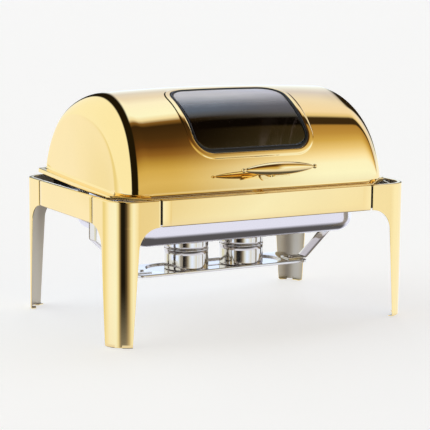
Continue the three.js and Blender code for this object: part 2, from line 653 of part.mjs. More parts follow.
// An ear inside each end that carries the pivot bush.
function earPlate() {
  const slope = Math.tan(radians(LID_DRAFT));
  const face = (z) => LID_X - LID_SHEET - z * slope - 0.6;
  const [x0, x1] = EAR_X;
  const side = [[x0, -14], [x1, -14], [x1, 8], [face(16), 16], [face(EAR_TOP), EAR_TOP], [x0, EAR_TOP]];
  const pad = alongY(side, -EAR_HALF, EAR_HALF);
  const outlineYZ = [[-EAR_HALF, EAR_TOP], [-EAR_HALF, 6], ...arc(0, 0, 14, 205, 335, 6),
    [EAR_HALF, 6], [EAR_HALF, EAR_TOP]];
  const bore = facingX(new THREE.CylinderGeometry(BUSH_R + GAP, BUSH_R + GAP, 30, 16)
    .rotateX(Math.PI / 2), 1).translate(x1, 0, 0);
  return cut(common(pad, alongX(outlineYZ, 270, 290)), bore);
}
for (const [side, sx] of SIDES) {
  const ear = earPlate();
  place(lid, `pivot_ear_${side}`, sx > 0 ? ear : ear.clone().scale(-1, 1, 1), darkSteel);
  place(lid, `pivot_bush_${side}`, facingX(washer(PIN_R + 0.4, BUSH_R, BUSH_X), sx), steel);
}

chafer.position.y = SET_BACK;

export default chafer;
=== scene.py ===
"""Roll top chafer: finished surfaces, metals, window and stage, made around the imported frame."""
import json

import bmesh
import bpy
import numpy as np
from mathutils import Matrix, Vector


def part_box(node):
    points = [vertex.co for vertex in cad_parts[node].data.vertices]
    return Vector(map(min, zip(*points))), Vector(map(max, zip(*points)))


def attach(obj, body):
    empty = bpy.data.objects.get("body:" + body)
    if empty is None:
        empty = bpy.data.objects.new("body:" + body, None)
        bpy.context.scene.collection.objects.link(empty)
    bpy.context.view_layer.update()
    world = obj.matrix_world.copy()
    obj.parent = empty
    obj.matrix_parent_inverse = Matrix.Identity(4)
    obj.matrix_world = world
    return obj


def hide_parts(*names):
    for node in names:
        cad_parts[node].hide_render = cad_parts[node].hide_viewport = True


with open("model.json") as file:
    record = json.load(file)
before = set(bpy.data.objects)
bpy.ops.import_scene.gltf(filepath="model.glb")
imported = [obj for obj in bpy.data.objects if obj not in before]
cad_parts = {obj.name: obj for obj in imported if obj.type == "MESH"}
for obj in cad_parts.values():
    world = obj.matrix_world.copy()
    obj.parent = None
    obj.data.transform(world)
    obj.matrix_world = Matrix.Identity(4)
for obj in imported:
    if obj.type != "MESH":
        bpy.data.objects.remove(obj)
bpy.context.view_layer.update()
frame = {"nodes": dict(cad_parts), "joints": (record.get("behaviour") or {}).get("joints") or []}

bl_info = {
    "name": "Roll Top Chafer",
    "version": (1, 0, 0),
    "blender": (4, 5, 0),
    "location": "3D View > Sidebar > Chafer",
    "description": "Builds the finished surfaces of a roll top chafer on its packed frame",
    "category": "Object",
}

MM = 0.001
PIVOT = np.array(next(j for j in frame["joints"] if j["name"] == "lid_roll")["pos_m"])
CENTRE_Y = PIVOT[1]
SIDES = (("left", -1), ("right", 1))
ENDS = (("front", -1), ("rear", 1))
RAIL_INSIDE = 318.2 * MM                        # where the pins and straps meet the end rails
SCREW_HEIGHT = 238 * MM                         # seam screws
STRAP_TOP, STRAP_ARM, STRAP_KNEE = 236 * MM, 226 * MM, 165 * MM      # heights along a strap
STRAP_DROP, STRAP_END = 271 * MM, 154 * MM      # how far out a strap hangs, and where it ends
HANGER_TOP = 246 * MM
DISH_X, DISH_Y = 146 * MM, 48 * MM              # half sizes of the shelf's dish
BRACKET_ANGLE = np.radians(14.5)                # foot of the handle's bracket, up from the front
PIN_START, PIN_RADIUS, COLLAR_RADIUS = 272 * MM, 5 * MM, 8 * MM
FLOOR_REACH, FLOOR_HEIGHT = 50.0, -0.0006


def size(name, description, millimetres):
    """A length property whose default is given in millimetres."""
    return bpy.props.FloatProperty(name=name, description=description, default=millimetres * MM,
                                   min=0.0, unit="LENGTH", subtype="DISTANCE", precision=4)


def colour(name, description, rgb):
    """A colour property."""
    return bpy.props.FloatVectorProperty(name=name, description=description, default=rgb,
                                         min=0.0, max=4.0, size=3, subtype="COLOR")


def share(name, description, default):
    """A plain number from 0 to 1."""
    return bpy.props.FloatProperty(name=name, description=description, default=default, min=0.0, max=1.0)


def degrees(name, description, default):
    """An angle property whose default is given in degrees."""
    return bpy.props.FloatProperty(name=name, description=description, default=np.radians(default),
                                   subtype="ANGLE", unit="ROTATION")


class ChaferFrameSizes(bpy.types.PropertyGroup):
    """Sizes of the pressed legs, the rails and what hangs on them."""
    half_length: size("Half length", "From the middle to the end rails", 320)
    half_depth: size("Half depth", "From the middle to the front rail", 215)
    top: size("Top", "Height of the frame", 264)
    sheet: size("Sheet", "Thickness of the legs and rails", 1.5)
    corner: size("Corner radius", "Vertical corner of a leg", 49)
    rail: size("Rail height", "Height of the rails", 49)
    seam: size("Seam", "From a corner to the end of a leg's arm", 91)
    seam_gap: size("Seam gap", "Open joint between an arm and a rail", 4.5)
    fillet: size("Arm fillet", "Fillet under an arm", 42)
    side_top: size("Leg depth", "Depth of a leg below the fillet, seen from an end", 53)
    side_floor: size("Foot depth", "Depth of a leg at the floor, seen from an end", 41)
    front_top: size("Leg width", "Width of a leg below the fillet, seen from the front", 49)
    front_floor: size("Foot width", "Width of a leg at the floor, seen from the front", 37)
    heel: size("Heel", "Half of the round corner left open between the toes", 7.5)
    toe: size("Toe", "Depth of a folded toe", 11)
    ledge_end: size("End ledge", "Turned-in top edge at the ends", 10)
    ledge_front: size("Front ledge", "Turned-in top edge at front and rear", 6)
    bend: size("Bend", "Radius of the folded edges", 2.2)


class ChaferLidSizes(bpy.types.PropertyGroup):
    """Sizes of the barrel lid, its window and its handle, about the pivot axis."""
    radius: size("Barrel radius", "Radius of the rolled lid", 192.7)
    half_length: size("Half length", "From the middle to an end wall at the pivot's height", 286)
    fillet: size("Front fillet", "Fillet between the barrel and an end wall, at the front", 50)
    fillet_rear: size("Rear fillet", "The same fillet at the rear", 24)
    bow: size("Bow", "How far the crest falls by 200 mm from the middle", 5)
    sheet: size("Sheet", "Thickness of the lid", 1.2)
    draft: degrees("Draft", "How far the end walls lean inwards", 2.8)
    pitch: degrees("Pitch", "How far the closed lid leans forward", 2.5)
    rim_x: size("Rim half length", "Half length over the turned-out rim", 303.8)
    rim_y: size("Rim half depth", "Half depth over the turned-out rim", 204.8)
    rim_low: size("Rim edge", "Lower edge of the rim above the pivot", 13.4)
    rim_drop: size("Rim drop", "Height of the turned-down edge", 7)
    dome: size("End dome", "Outward bulge of an end wall", 1.6)
    window_x: size("Window half width", "Half width of the opening", 123.5)
    window_middle: bpy.props.FloatProperty(name="Window middle", description="Middle of the window",
                                           default=-9 * MM, unit="LENGTH", subtype="DISTANCE")
    window_low: degrees("Window foot", "Lower edge, up from the front", 28)
    window_high: degrees("Window head", "Upper edge, up from the front", 82.5)
    corner_low: size("Lower corners", "Corner radius at the window's foot", 36)
    corner_high: size("Upper corners", "Corner radius at the window's head", 42)
    border: size("Border", "Width of the raised border", 9)
    gasket: size("Gasket", "Width of the gasket", 5)
    gasket_foot: size("Gasket foot", "Width of the gasket at its lower edge", 8.5)
    handle_half: size("Handle half length", "From the middle to a tip", 80)
    handle_radius: size("Handle radius", "Radius at the middle of the bar", 12)


class ChaferFinishes(bpy.types.PropertyGroup):
    """Colours and polish of the materials."""
    gold: colour("Gold", "Gold-coloured mirror sheet", (1.0, 0.775, 0.37))
    gold_gloss: share("Gold roughness", "Roughness of the mirror sheet", 0.008)
    steel: colour("Steel", "Polished stainless steel", (0.80, 0.765, 0.72))
    satin: colour("Satin steel", "Unpolished stainless steel", (0.50, 0.485, 0.455))
    rubber: colour("Rubber", "Window gasket", (0.006, 0.007, 0.010))
    glass: colour("Glass", "Tint of the window", (0.07, 0.055, 0.048))
    floor: colour("Floor", "Pale studio floor", (0.60, 0.60, 0.60))


class ChaferStage(bpy.types.PropertyGroup):
    """Where the camera stands."""
    place: bpy.props.FloatVectorProperty(name="Camera", description="Place of the camera",
                                         default=(-1.4337, -2.5474, 0.6546), size=3, unit="LENGTH",
                                         subtype="TRANSLATION")
    yaw: degrees("Yaw", "Turn to the right of straight ahead", 29.21)
    tilt: degrees("Tilt", "Tilt below the horizontal", 8.95)
    roll: degrees("Roll", "Roll of the camera", 0.455)
    lens: bpy.props.FloatProperty(name="Lens", description="Focal length in millimetres", default=126.2)


# ------------------------------------------------------------------------------ meshes
def quads(rows, cols, wrap=False):
    """Faces of a grid of rows by cols points, kept row by row; wrap closes each row."""
    j = np.arange(cols if wrap else cols - 1)
    i = np.arange(rows - 1)[:, None] * cols
    k = (j + 1) % cols
    return np.stack([i + j, i + k, i + k + cols, i + j + cols], axis=-1).reshape(-1, 4)


def patch(points, wrap=False):
    """A grid of points of shape (rows, cols, 3) as (points, faces)."""
    rows, cols = points.shape[:2]
    return points.reshape(-1, 3), quads(rows, cols, wrap)


def grid(x, y, z):
    """Three arrays that fit one shape as an array of points."""
    return np.stack(np.broadcast_arrays(x, y, z), axis=-1)


def quarter(count):
    """Angles from 0 to 90 degrees."""
    return np.radians(np.linspace(0, 90, count))


def piece(name, patches, materials, body, replaces=(), wall=0.0, offset=-1.0, edge=0.0,
          up=None, inner=0):
    """Welds patches into one mesh, turns its faces outwards and gives it a wall and soft edges.
    up is (point, direction): the face nearest the point has to face that way."""
    starts = np.cumsum([0] + [len(p) for p, _ in patches[:-1]])
    points = np.concatenate([p for p, _ in patches])
    faces = np.concatenate([f + s for (_, f), s in zip(patches, starts)])
    mesh = bpy.data.meshes.new(name)
    mesh.from_pydata(points.tolist(), [], faces.tolist())
    soft = bmesh.new()
    soft.from_mesh(mesh)
    bmesh.ops.remove_doubles(soft, verts=soft.verts, dist=2e-6)
    bmesh.ops.dissolve_degenerate(soft, edges=soft.edges, dist=1e-6)
    bmesh.ops.recalc_face_normals(soft, faces=soft.faces)
    if up is not None:
        at, way = Vector(up[0]), Vector(up[1])
        near = min(soft.faces, key=lambda f: (f.calc_center_median() - at).length)
        if near.normal.dot(way) < 0:
            bmesh.ops.reverse_faces(soft, faces=soft.faces)
    for face in soft.faces:
        face.smooth = True
    soft.to_mesh(mesh)
    soft.free()
    obj = bpy.data.objects.new(name, mesh)
    bpy.context.scene.collection.objects.link(obj)
    for material in materials:
        mesh.materials.append(bpy.data.materials[material])
    if wall:
        solid = obj.modifiers.new("wall", "SOLIDIFY")
        solid.thickness = wall
        solid.offset = offset
        solid.use_even_offset = True
        solid.material_offset = inner
    if edge:
        bevel = obj.modifiers.new("edge", "BEVEL")
        bevel.width = edge
        bevel.segments = 2
        bevel.limit_method = "ANGLE"
        bevel.angle_limit = np.radians(50)
    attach(obj, body)
    if replaces:
        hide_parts(*replaces)
    return obj


def outline(hx, hy, r, per_corner=14, per_side=10):
    """Rounded rectangles, counterclockwise from the right side. hx, hy and r have one value for
    each ring; the result is (rings, points, 2)."""
    hx, hy, r = hx[:, None], hy[:, None], r[:, None]
    run = np.linspace(0, 1, per_side + 2)[1:-1]
    xs, ys = [], []
    for turns, (sx, sy), (tx, ty) in ((0, (1, 1), (-1, 1)), (1, (-1, 1), (-1, -1)),
                                      (2, (-1, -1), (1, -1)), (3, (1, -1), (1, 1))):
        a = np.linspace(0, np.pi / 2, per_corner) + turns * np.pi / 2
        cx, cy = sx * (hx - r), sy * (hy - r)
        dx, dy = tx * (hx - r), ty * (hy - r)
        xs += [cx + r * np.cos(a), cx + (dx - cx) * run + r * np.cos(a[-1])]
        ys += [cy + r * np.sin(a), cy + (dy - cy) * run + r * np.sin(a[-1])]
    return np.stack([np.concatenate(xs, axis=1), np.concatenate(ys, axis=1)], axis=-1)


def dished(rings, **density):
    """A surface over rounded rectangles about the frame's middle: (hx, hy, r, z) for each ring."""
    hx, hy, r, z = np.array(rings, float).T
    points = outline(hx, hy, r, **density)
    return patch(grid(points[..., 0], points[..., 1] + CENTRE_Y, z[:, None]), wrap=True)


def folded_rings(low, high, r, b):
    """Rings of a folded plate: its lower edge, then a quarter round of radius b to its top."""
    hx, hy = (high.x - low.x) / 2, (high.y - low.y) / 2
    rings = [(hx, hy, r, low.z)]
    for t in quarter(6):
        pull = b * (1 - np.cos(t))
        rings.append((hx - pull, hy - pull, r - pull, high.z - b + b * np.sin(t)))
    return rings


def turned(profile, segments=64):
    """A profile of (radius, height) turned about +Z: (r cos a, r sin a, z)."""
    r, z = np.array(profile, float).T
    a = np.linspace(0, 2 * np.pi, segments, endpoint=False)
    return patch(grid(np.outer(r, np.cos(a)), np.outer(r, np.sin(a)), z[:, None]), wrap=True)


def moved(part, matrix):
    """A patch carried by a 4 by 4 matrix."""
    points, faces = part
    m = np.array(matrix, float)
    return points @ m[:3, :3].T + m[:3, 3], faces


def arc(cx, cy, r, start, stop, steps):
    """Points on an arc, with angles in degrees."""
    a = np.radians(np.linspace(start, stop, steps + 1))
    return np.column_stack([cx + r * np.cos(a), cy + r * np.sin(a)])


def rounded_line(corners, radius, steps=8):
    """A line of straight runs joined by arcs of one radius, as an array of (a, b) points."""
    corners = np.array(corners, float)
    found = [corners[:1]]
    for before, at, after in zip(corners[:-2], corners[1:-1], corners[2:]):
        u = (before - at) / np.linalg.norm(before - at)
        w = (after - at) / np.linalg.norm(after - at)
        half = np.arccos(np.clip(u @ w, -1, 1)) / 2
        reach = radius / np.tan(half)
        middle = at + (u + w) / np.linalg.norm(u + w) * radius / np.sin(half)
        first, last = at + u * reach - middle, at + w * reach - middle
        t = np.linspace(0, 1, steps + 1)[:, None]
        swing = np.arccos(np.clip(first @ last / radius ** 2, -1, 1))
        found.append(middle + (np.sin((1 - t) * swing) * first + np.sin(t * swing) * last) / np.sin(swing))
    found.append(corners[-1:])
    return np.concatenate(found)


def smooth(t):
    """A smooth step: 3 t squared minus 2 t cubed, with t kept from 0 to 1."""
    t = np.clip(t, 0, 1)
    return t * t * (3 - 2 * t)


def group_of(group):
    """A property group on the scene."""
    return getattr(bpy.context.scene, group)


# ------------------------------------------------------------------------------ materials
class Nodes:
    """Short calls for building a node tree."""

    def __init__(self, owner):
        owner.use_nodes = True
        self.tree = owner.node_tree
        self.tree.nodes.clear()

    def add(self, kind, settings=None, **inputs):
        """A node with its settings and inputs; an input's name has _ in place of a space."""
        node = self.tree.nodes.new(kind)
        for key, value in (settings or {}).items():
            setattr(node, key, value)
        for key, value in inputs.items():
            self.plug(node, key.replace("_", " "), value)
        return node

    def plug(self, node, key, value):
        """Links a socket to an input or sets its value; i0, i1 and so on count the inputs."""
        socket = node.inputs[int(key[1:])] if key[0] == "i" and key[1:].isdigit() else node.inputs[key]
        if isinstance(value, bpy.types.NodeSocket):
            self.tree.links.new(value, socket)
        else:
            socket.default_value = value

    def math(self, operation, a, b=0.0):
        """The result of one sum."""
        node = self.add("ShaderNodeMath", {"operation": operation})
        self.plug(node, "i0", a)
        self.plug(node, "i1", b)
        return node.outputs[0]

    def step(self, value, low, high, first=0.0, last=1.0):
        """A smooth step from first at low to last at high."""
        node = self.add("ShaderNodeMapRange", {"interpolation_type": "SMOOTHSTEP"})
        for key, v in zip(("i0", "i1", "i2", "i3", "i4"), (value, low, high, first, last)):
            self.plug(node, key, v)
        return node.outputs[0]

    def place(self, scale=(1, 1, 1)):
        """The object coordinates, scaled."""
        where = self.add("ShaderNodeTexCoord").outputs["Object"]
        return self.add("ShaderNodeMapping", Vector=where, Scale=scale).outputs[0]

    def noise(self, vector, scale, detail=2.0, roughness=0.5):
        """Noise from 0 to 1."""
        return self.add("ShaderNodeTexNoise", Vector=vector, Scale=scale, Detail=detail,
                        Roughness=roughness).outputs[0]

    def ramp(self, value, *stops):
        """A colour ramp over (position, colour) stops."""
        node = self.add("ShaderNodeValToRGB")
        elements = node.color_ramp.elements
        elements.remove(elements[1])
        elements[0].position, elements[0].color = stops[0][0], (*stops[0][1], 1.0)
        for position, rgb in stops[1:]:
            elements.new(position).color = (*rgb, 1.0)
        self.tree.links.new(value, node.inputs[0])
        return node.outputs[0]

    def bump(self, height, strength, distance):
        """A normal bent by a height."""
        return self.add("ShaderNodeBump", Strength=strength, Distance=distance,
                        Height=height).outputs[0]

    def surface(self, **inputs):
        """The principled shader, led to the output."""
        shader = self.add("ShaderNodeBsdfPrincipled", **inputs)
        self.tree.links.new(shader.outputs[0], self.add("ShaderNodeOutputMaterial").inputs[0])
        return shader


def fresh(name):
    """A new material with an empty node tree."""
    return Nodes(bpy.data.materials.new(name))


def tinted(rgb, factor):
    """A colour times a factor, at most 1."""
    return tuple(min(c * factor, 1.0) for c in rgb)


def polished(name, rgb, roughness, haze, grain=(1, 1, 1)):
    """A polished metal: faint polishing lines and wiping haze in the roughness and the colour."""
    n = fresh(name)
    wipe = n.noise(n.place(), 9.0, 3.0, 0.55)
    lines = n.noise(n.place(grain), 260.0, 2.0, 0.6)
    mixed = n.math("ADD", n.math("MULTIPLY", wipe, 0.7), n.math("MULTIPLY", lines, 0.3))
    shade = n.ramp(mixed, (0.3, tinted(rgb, 0.965)), (0.7, rgb))
    rough = n.step(mixed, 0.3, 0.75, roughness, roughness + haze)
    n.surface(Base_Color=shade, Metallic=1.0, Roughness=rough, Normal=n.bump(lines, 0.02, 0.0002))


def brushed(name, rgb, roughness, grain):
    """Brushed steel: streaks along one direction in colour, roughness and relief."""
    n = fresh(name)
    streak = n.noise(n.place(grain), 420.0, 4.0, 0.65)
    cloud = n.noise(n.place(), 14.0, 3.0, 0.5)
    mixed = n.math("ADD", n.math("MULTIPLY", streak, 0.65), n.math("MULTIPLY", cloud, 0.35))
    shade = n.ramp(mixed, (0.3, tinted(rgb, 0.86)), (0.7, rgb))
    rough = n.step(mixed, 0.3, 0.7, roughness, roughness + 0.12)
    n.surface(Base_Color=shade, Metallic=1.0, Roughness=rough, Normal=n.bump(streak, 0.12, 0.0002))


def painted_shade(name, scale, dark, light, metal, smoothest, roughest):
    """Painted shade: a dull, dark surface that stands in for shadow, with a fine cloud between two dark
    tones.
    """
    n = fresh(name)
    shade_mottle = n.noise(n.place(), scale, 3.0)
    n.surface(Base_Color=n.ramp(shade_mottle, (0.3, dark), (0.7, light)), Metallic=metal,
              Roughness=n.step(shade_mottle, 0.3, 0.7, smoothest, roughest))


class CHAFER_OT_finishes(bpy.types.Operator):
    """Make the metals, the gasket's rubber and the window's glass"""
    bl_idname = "chafer.finishes"
    bl_label = "Finishes"

    def execute(self, context):
        f = context.scene.chafer_finishes
        polished("mirror_gold", tuple(f.gold), f.gold_gloss, 0.014)
        polished("gold_handle", tinted(f.gold, 0.97), 0.06, 0.04, (1, 6, 6))
        polished("mirror_steel", tuple(f.steel), 0.07, 0.06)
        polished("pan_steel", (0.90, 0.88, 0.90), 0.09, 0.05, (1, 3, 3))
        warm = tuple(c * t for c, t in zip(f.satin, (1.2, 1.1, 0.93)))
        brushed("bare_steel", warm, 0.34, (0.6, 0.6, 14))
        brushed("fine_satin_steel", tinted(f.satin, 0.9), 0.27, (0.5, 12, 12))
        # Painted shade: a dark bronze gold for the support ring, standing in for the shadow inside the
        # frame's corners.
        painted_shade("shaded_gold", 45.0, (0.13, 0.085, 0.03), (0.19, 0.125, 0.045), 0.9, 0.25, 0.4)
        # Painted shade: near-black steel for the front and rear lap plates, standing in for the dark seen
        # through the open seams.
        painted_shade("shaded_steel", 60.0, (0.012, 0.010, 0.008), (0.022, 0.018, 0.014), 0.3, 0.6, 0.75)
        rubber = fresh("gasket_rubber")
        skin = rubber.noise(rubber.place(), 900.0, 3.0, 0.6)
        cloud = rubber.noise(rubber.place(), 40.0)
        shade = rubber.ramp(cloud, (0.35, tuple(f.rubber)), (0.7, tuple(c * 1.8 for c in f.rubber)))
        rubber.surface(Base_Color=shade, Roughness=rubber.step(cloud, 0.3, 0.7, 0.32, 0.46),
                       Normal=rubber.bump(skin, 0.15, 0.0001))
        glass = fresh("smoked_pane")
        smudge_and_band_edge = glass.noise(glass.place((1, 2, 2)), 12.0, 3.0)
        # Painted reflection: the pane's colour runs by height, darker low down, then a pale grey and
        # near-white band along the top with less transmission there; the smudge noise sets the roughness and
        # wobbles the band's edge.
        height = glass.add("ShaderNodeSeparateXYZ", Vector=glass.place()).outputs[2]
        height = glass.math("ADD", height, glass.math("MULTIPLY", smudge_and_band_edge, 0.004))
        shade = glass.ramp(glass.math("DIVIDE", height, 0.46), (0.885, tinted(f.glass, 0.7)),
                           (0.905, tinted(f.glass, 1.0)), (0.93, (0.50, 0.50, 0.51)),
                           (0.95, (0.95, 0.94, 0.95)))
        glass.surface(Base_Color=shade, Roughness=glass.step(smudge_and_band_edge, 0.35, 0.75, 0.01, 0.03),
                      Transmission_Weight=glass.step(height, 0.408, 0.438, 1.0, 0.1), IOR=1.33,
                      Coat_Weight=1.0, Coat_IOR=1.45, Coat_Roughness=0.02)
        return {"FINISHED"}


# ------------------------------------------------------------------------------ frame
def leg_plan(s, inward, sx, sy):
    """Plan point at arc length s from the corner's middle, moved inwards: a quarter circle of the
    corner radius with a straight run at each end; s > 0 leads to the front or rear arm."""
    f = group_of("chafer_frame")
    half_arc = f.corner * np.pi / 4
    beta = np.clip(s, -half_arc, half_arc) / f.corner
    run = np.abs(s) - half_arc
    run = np.where(run > 0, run, 0.0)
    nx, ny = -np.sin(np.pi / 4 - beta), -np.cos(np.pi / 4 - beta)
    x = -(f.half_length - f.corner) + (f.corner - inward) * nx + np.where(s > 0, run, 0.0)
    y = -(f.half_depth - f.corner) + (f.corner - inward) * ny + np.where(s < 0, run, 0.0)
    return -sx * x, -sy * y + CENTRE_Y


def leg_patches(sx, sy):
    """One leg as a skin over (s, z). At a height z the skin runs from -S(z) to S(z), where S is the
    straight taper of the leg, then the fillet's circle, then the whole arm. The top turns in to a
    ledge, and the foot turns in to two toes with the round corner left open."""
    f = group_of("chafer_frame")
    half_arc = f.corner * np.pi / 4
    arm = f.seam - f.corner + half_arc
    low = f.top - f.rail
    knee = low - f.fillet
    rise = quarter(22)[1:]

    def along(width):
        """Arc length from the corner's middle to where the leg is this wide, seen square on."""
        bent = half_arc - f.corner * np.arcsin(max(f.corner - width, 0.0) / f.corner)
        return bent + max(width - f.corner, 0.0)

    straight = np.linspace(f.bend, knee, 34)
    z = np.concatenate([straight, knee + f.fillet * np.sin(rise),
                        np.linspace(low, f.top - f.bend, 9)[1:]])

    def reach(floor, top):
        """How far the skin runs from the corner's middle at each height."""
        leg = along(floor) + (along(top) - along(floor)) * straight / knee
        under = along(top) + f.fillet * (1 - np.cos(rise))
        return np.minimum(np.concatenate([leg, under, np.full(8, arm)]), arm)[:, None]

    def points(s, inward, height):
        """Points at arc lengths s, moved inwards, with one height for each row."""
        return grid(*leg_plan(s, inward, sx, sy), height[:, None])

    part = np.linspace(0, 1, 26)
    to_side = -f.heel - (reach(f.side_floor, f.side_top) - f.heel) * part[::-1]
    to_front = f.heel + (reach(f.front_floor, f.front_top) - f.heel) * part
    middle = np.broadcast_to(np.linspace(-f.heel, f.heel, 9)[1:-1], (len(z), 7))
    s = np.concatenate([to_side, middle, to_front], axis=1)

    g = quarter(7)
    turn_in = f.bend * (1 - np.cos(g))
    side = np.clip(s[-1] / half_arc, -1, 1)
    depth = f.ledge_front + (f.ledge_end - f.ledge_front) * (0.5 - 0.5 * side)
    inward = np.concatenate([np.broadcast_to(turn_in[:, None], (7, len(side))),
                             f.bend + (depth - f.bend) * np.linspace(0, 1, 4)[1:, None]])
    height = np.concatenate([f.top - f.bend + f.bend * np.sin(g), np.full(3, f.top)])
    parts = [points(s, 0.0, z), points(s[-1], inward, height)]

    inward = np.concatenate([turn_in, np.linspace(f.bend, f.toe, 5)[1:]])
    height = np.concatenate([f.bend - f.bend * np.sin(g), np.zeros(4)])
    parts += [points(foot, inward[:, None], height) for foot in (to_side[0], to_front[0])]
    parts.append(points(s[0, 25:-25], np.zeros((2, 1)), np.array([f.bend, f.bend * 0.4])))
    return [patch(part) for part in parts]


class CHAFER_OT_legs(bpy.types.Operator):
    """Press the four corner legs"""
    bl_idname = "chafer.legs"
    bl_label = "Legs"

    def execute(self, context):
        f = context.scene.chafer_frame
        for end, sy in ENDS:
            for side, sx in SIDES:
                corner = (sx * f.half_length, sy * f.half_depth + CENTRE_Y, f.top / 2)
                piece(f"pressed_leg_{end}_{side}", leg_patches(sx, sy), ("mirror_gold", "bare_steel"),
                      "frame", (f"leg_{end}_{side}",), wall=f.sheet, edge=0.35 * MM,
                      up=(corner, (sx, sy, 0)), inner=1)
        return {"FINISHED"}


def rail_patches(half_length, half_depth, ledge, turn):
    """One rail: the profile (inward, height) of ledge, bend, web, bend and foot, carried straight
    along; a lap plate behind each arm closes the open joint from inside."""
    f = group_of("chafer_frame")
    low, b = f.top - f.rail, f.bend
    g = quarter(7)
    inward = np.concatenate([[ledge], b * (1 - np.sin(g)), b * (1 - np.cos(g)), [8 * MM]])
    height = np.concatenate([[f.top], f.top - b + b * np.cos(g), low + b - b * np.sin(g), [low]])
    end = half_length - f.seam - f.seam_gap
    along = np.linspace(-end, end, 25)
    parts = [patch(grid(along, -half_depth + inward[:, None], height[:, None]))]
    behind = -half_depth + f.sheet + 0.4 * MM
    for sign in (-1, 1):
        x = sign * np.array([end - 6 * MM, end + f.seam_gap + 22 * MM])
        z = np.linspace(low + 4 * MM, f.top - 4 * MM, 4)
        parts.append(patch(grid(x, behind, z[:, None])))
    carry = Matrix.Translation((0, CENTRE_Y, 0)) @ Matrix.Rotation(turn, 4, "Z")
    return [moved(p, carry) for p in parts]


class CHAFER_OT_rails(bpy.types.Operator):
    """Fold the four rails between the legs"""
    bl_idname = "chafer.rails"
    bl_label = "Rails"

    def execute(self, context):
        f = context.scene.chafer_frame
        long = (f.half_length, f.half_depth, f.ledge_front)
        short = (f.half_depth, f.half_length, f.ledge_end)
        for name, sizes, turn in (("front", long, 0.0), ("right", short, np.pi / 2),
                                  ("rear", long, np.pi), ("left", short, -np.pi / 2)):
            way = Vector((np.sin(turn), -np.cos(turn), 0))
            middle = way * sizes[1] + Vector((0, CENTRE_Y, f.top - f.rail / 2))
            parts = rail_patches(*sizes, turn)
            piece(f"folded_rail_{name}", parts[:1], ("mirror_gold", "bare_steel"), "frame",
                  (f"rail_{name}",), wall=f.sheet, edge=0.35 * MM, up=(middle, way), inner=1)
            # Painted shade: the front and rear laps are near-black so their seams read dark.
            lap = "mirror_steel" if name in ("left", "right") else "shaded_steel"
            piece(f"rail_laps_{name}", parts[1:], (lap,), "frame", (),
                  wall=1.2 * MM, edge=0.3 * MM, up=(middle, way))
        return {"FINISHED"}


def screw_profile(shank, reach, head, crown):
    """A screw along +Z: a shank of some radius, then a pan head with a rounded crown and a recess."""
    dome = arc(head - 1.2 * MM, reach + crown - 1.2 * MM, 1.2 * MM, 0, 90, 6)
    return [(0, 0), (shank, 0), (shank, reach), (head, reach), (head, reach + crown - 1.2 * MM),
            *dome[1:], (head * 0.45, reach + crown), (head * 0.4, reach + crown * 0.45),
            (0, reach + crown * 0.4)]


class CHAFER_OT_screws(bpy.types.Operator):
    """Put the screws behind the seams and the rivets on the shelf"""
    bl_idname = "chafer.screws"
    bl_label = "Screws and rivets"

    def execute(self, context):
        f = context.scene.chafer_frame
        inset = f.seam - 11 * MM
        nodes, parts = [], []
        profile = screw_profile(2.4 * MM, 2.0 * MM, 4.8 * MM, 2.3 * MM)
        for end, sy in ENDS:
            for side, sx in SIDES:
                for name, x, y, way in (
                        (f"screw_{end}_{side}", f.half_length - inset, f.half_depth, (0, -sy, 0)),
                        (f"screw_{side}_{end}", f.half_length, f.half_depth - inset, (-sx, 0, 0))):
                    turn = Vector(way).to_track_quat("Z", "Y").to_matrix().to_4x4()
                    start = Vector((sx * x, sy * y + CENTRE_Y, SCREW_HEIGHT)) + Vector(way) * 1.9 * MM
                    parts.append(moved(turned(profile, 24), Matrix.Translation(start) @ turn))
                    nodes.append(name)
        piece("seam_screws", parts, ("fine_satin_steel",), "frame", nodes)
        rivets = []
        for side, _ in SIDES:
            low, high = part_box(f"shelf_rivet_{side}")
            top = high.z - 2.2 * MM
            dome = [(r, top + 2.0 * MM * np.sqrt(max(1 - (r / (4.4 * MM)) ** 2, 0)))
                    for r in np.linspace(4.4 * MM, 0, 9)]
            profile = [(0, low.z), (2.4 * MM, low.z), (2.4 * MM, top), *dome]
            place = Matrix.Translation(((low.x + high.x) / 2, (low.y + high.y) / 2, 0))
            rivets.append(moved(turned(profile, 32), place))
        piece("shelf_rivets", rivets, ("mirror_steel",), "frame",
              [f"shelf_rivet_{side}" for side, _ in SIDES])
        return {"FINISHED"}


# ------------------------------------------------------------------------------ supports
def strip_patch(line, low, high, axis):
    """A strip: a line of (a, height) points carried between two values across it. With axis X the
    line's a runs along X, and with axis Y along Y."""
    line = np.array(line, float)
    a, b, z = line[:, :1], np.linspace(low, high, 5), line[:, 1:]
    return patch(grid(a, b, z) if axis == "X" else grid(b, a, z))


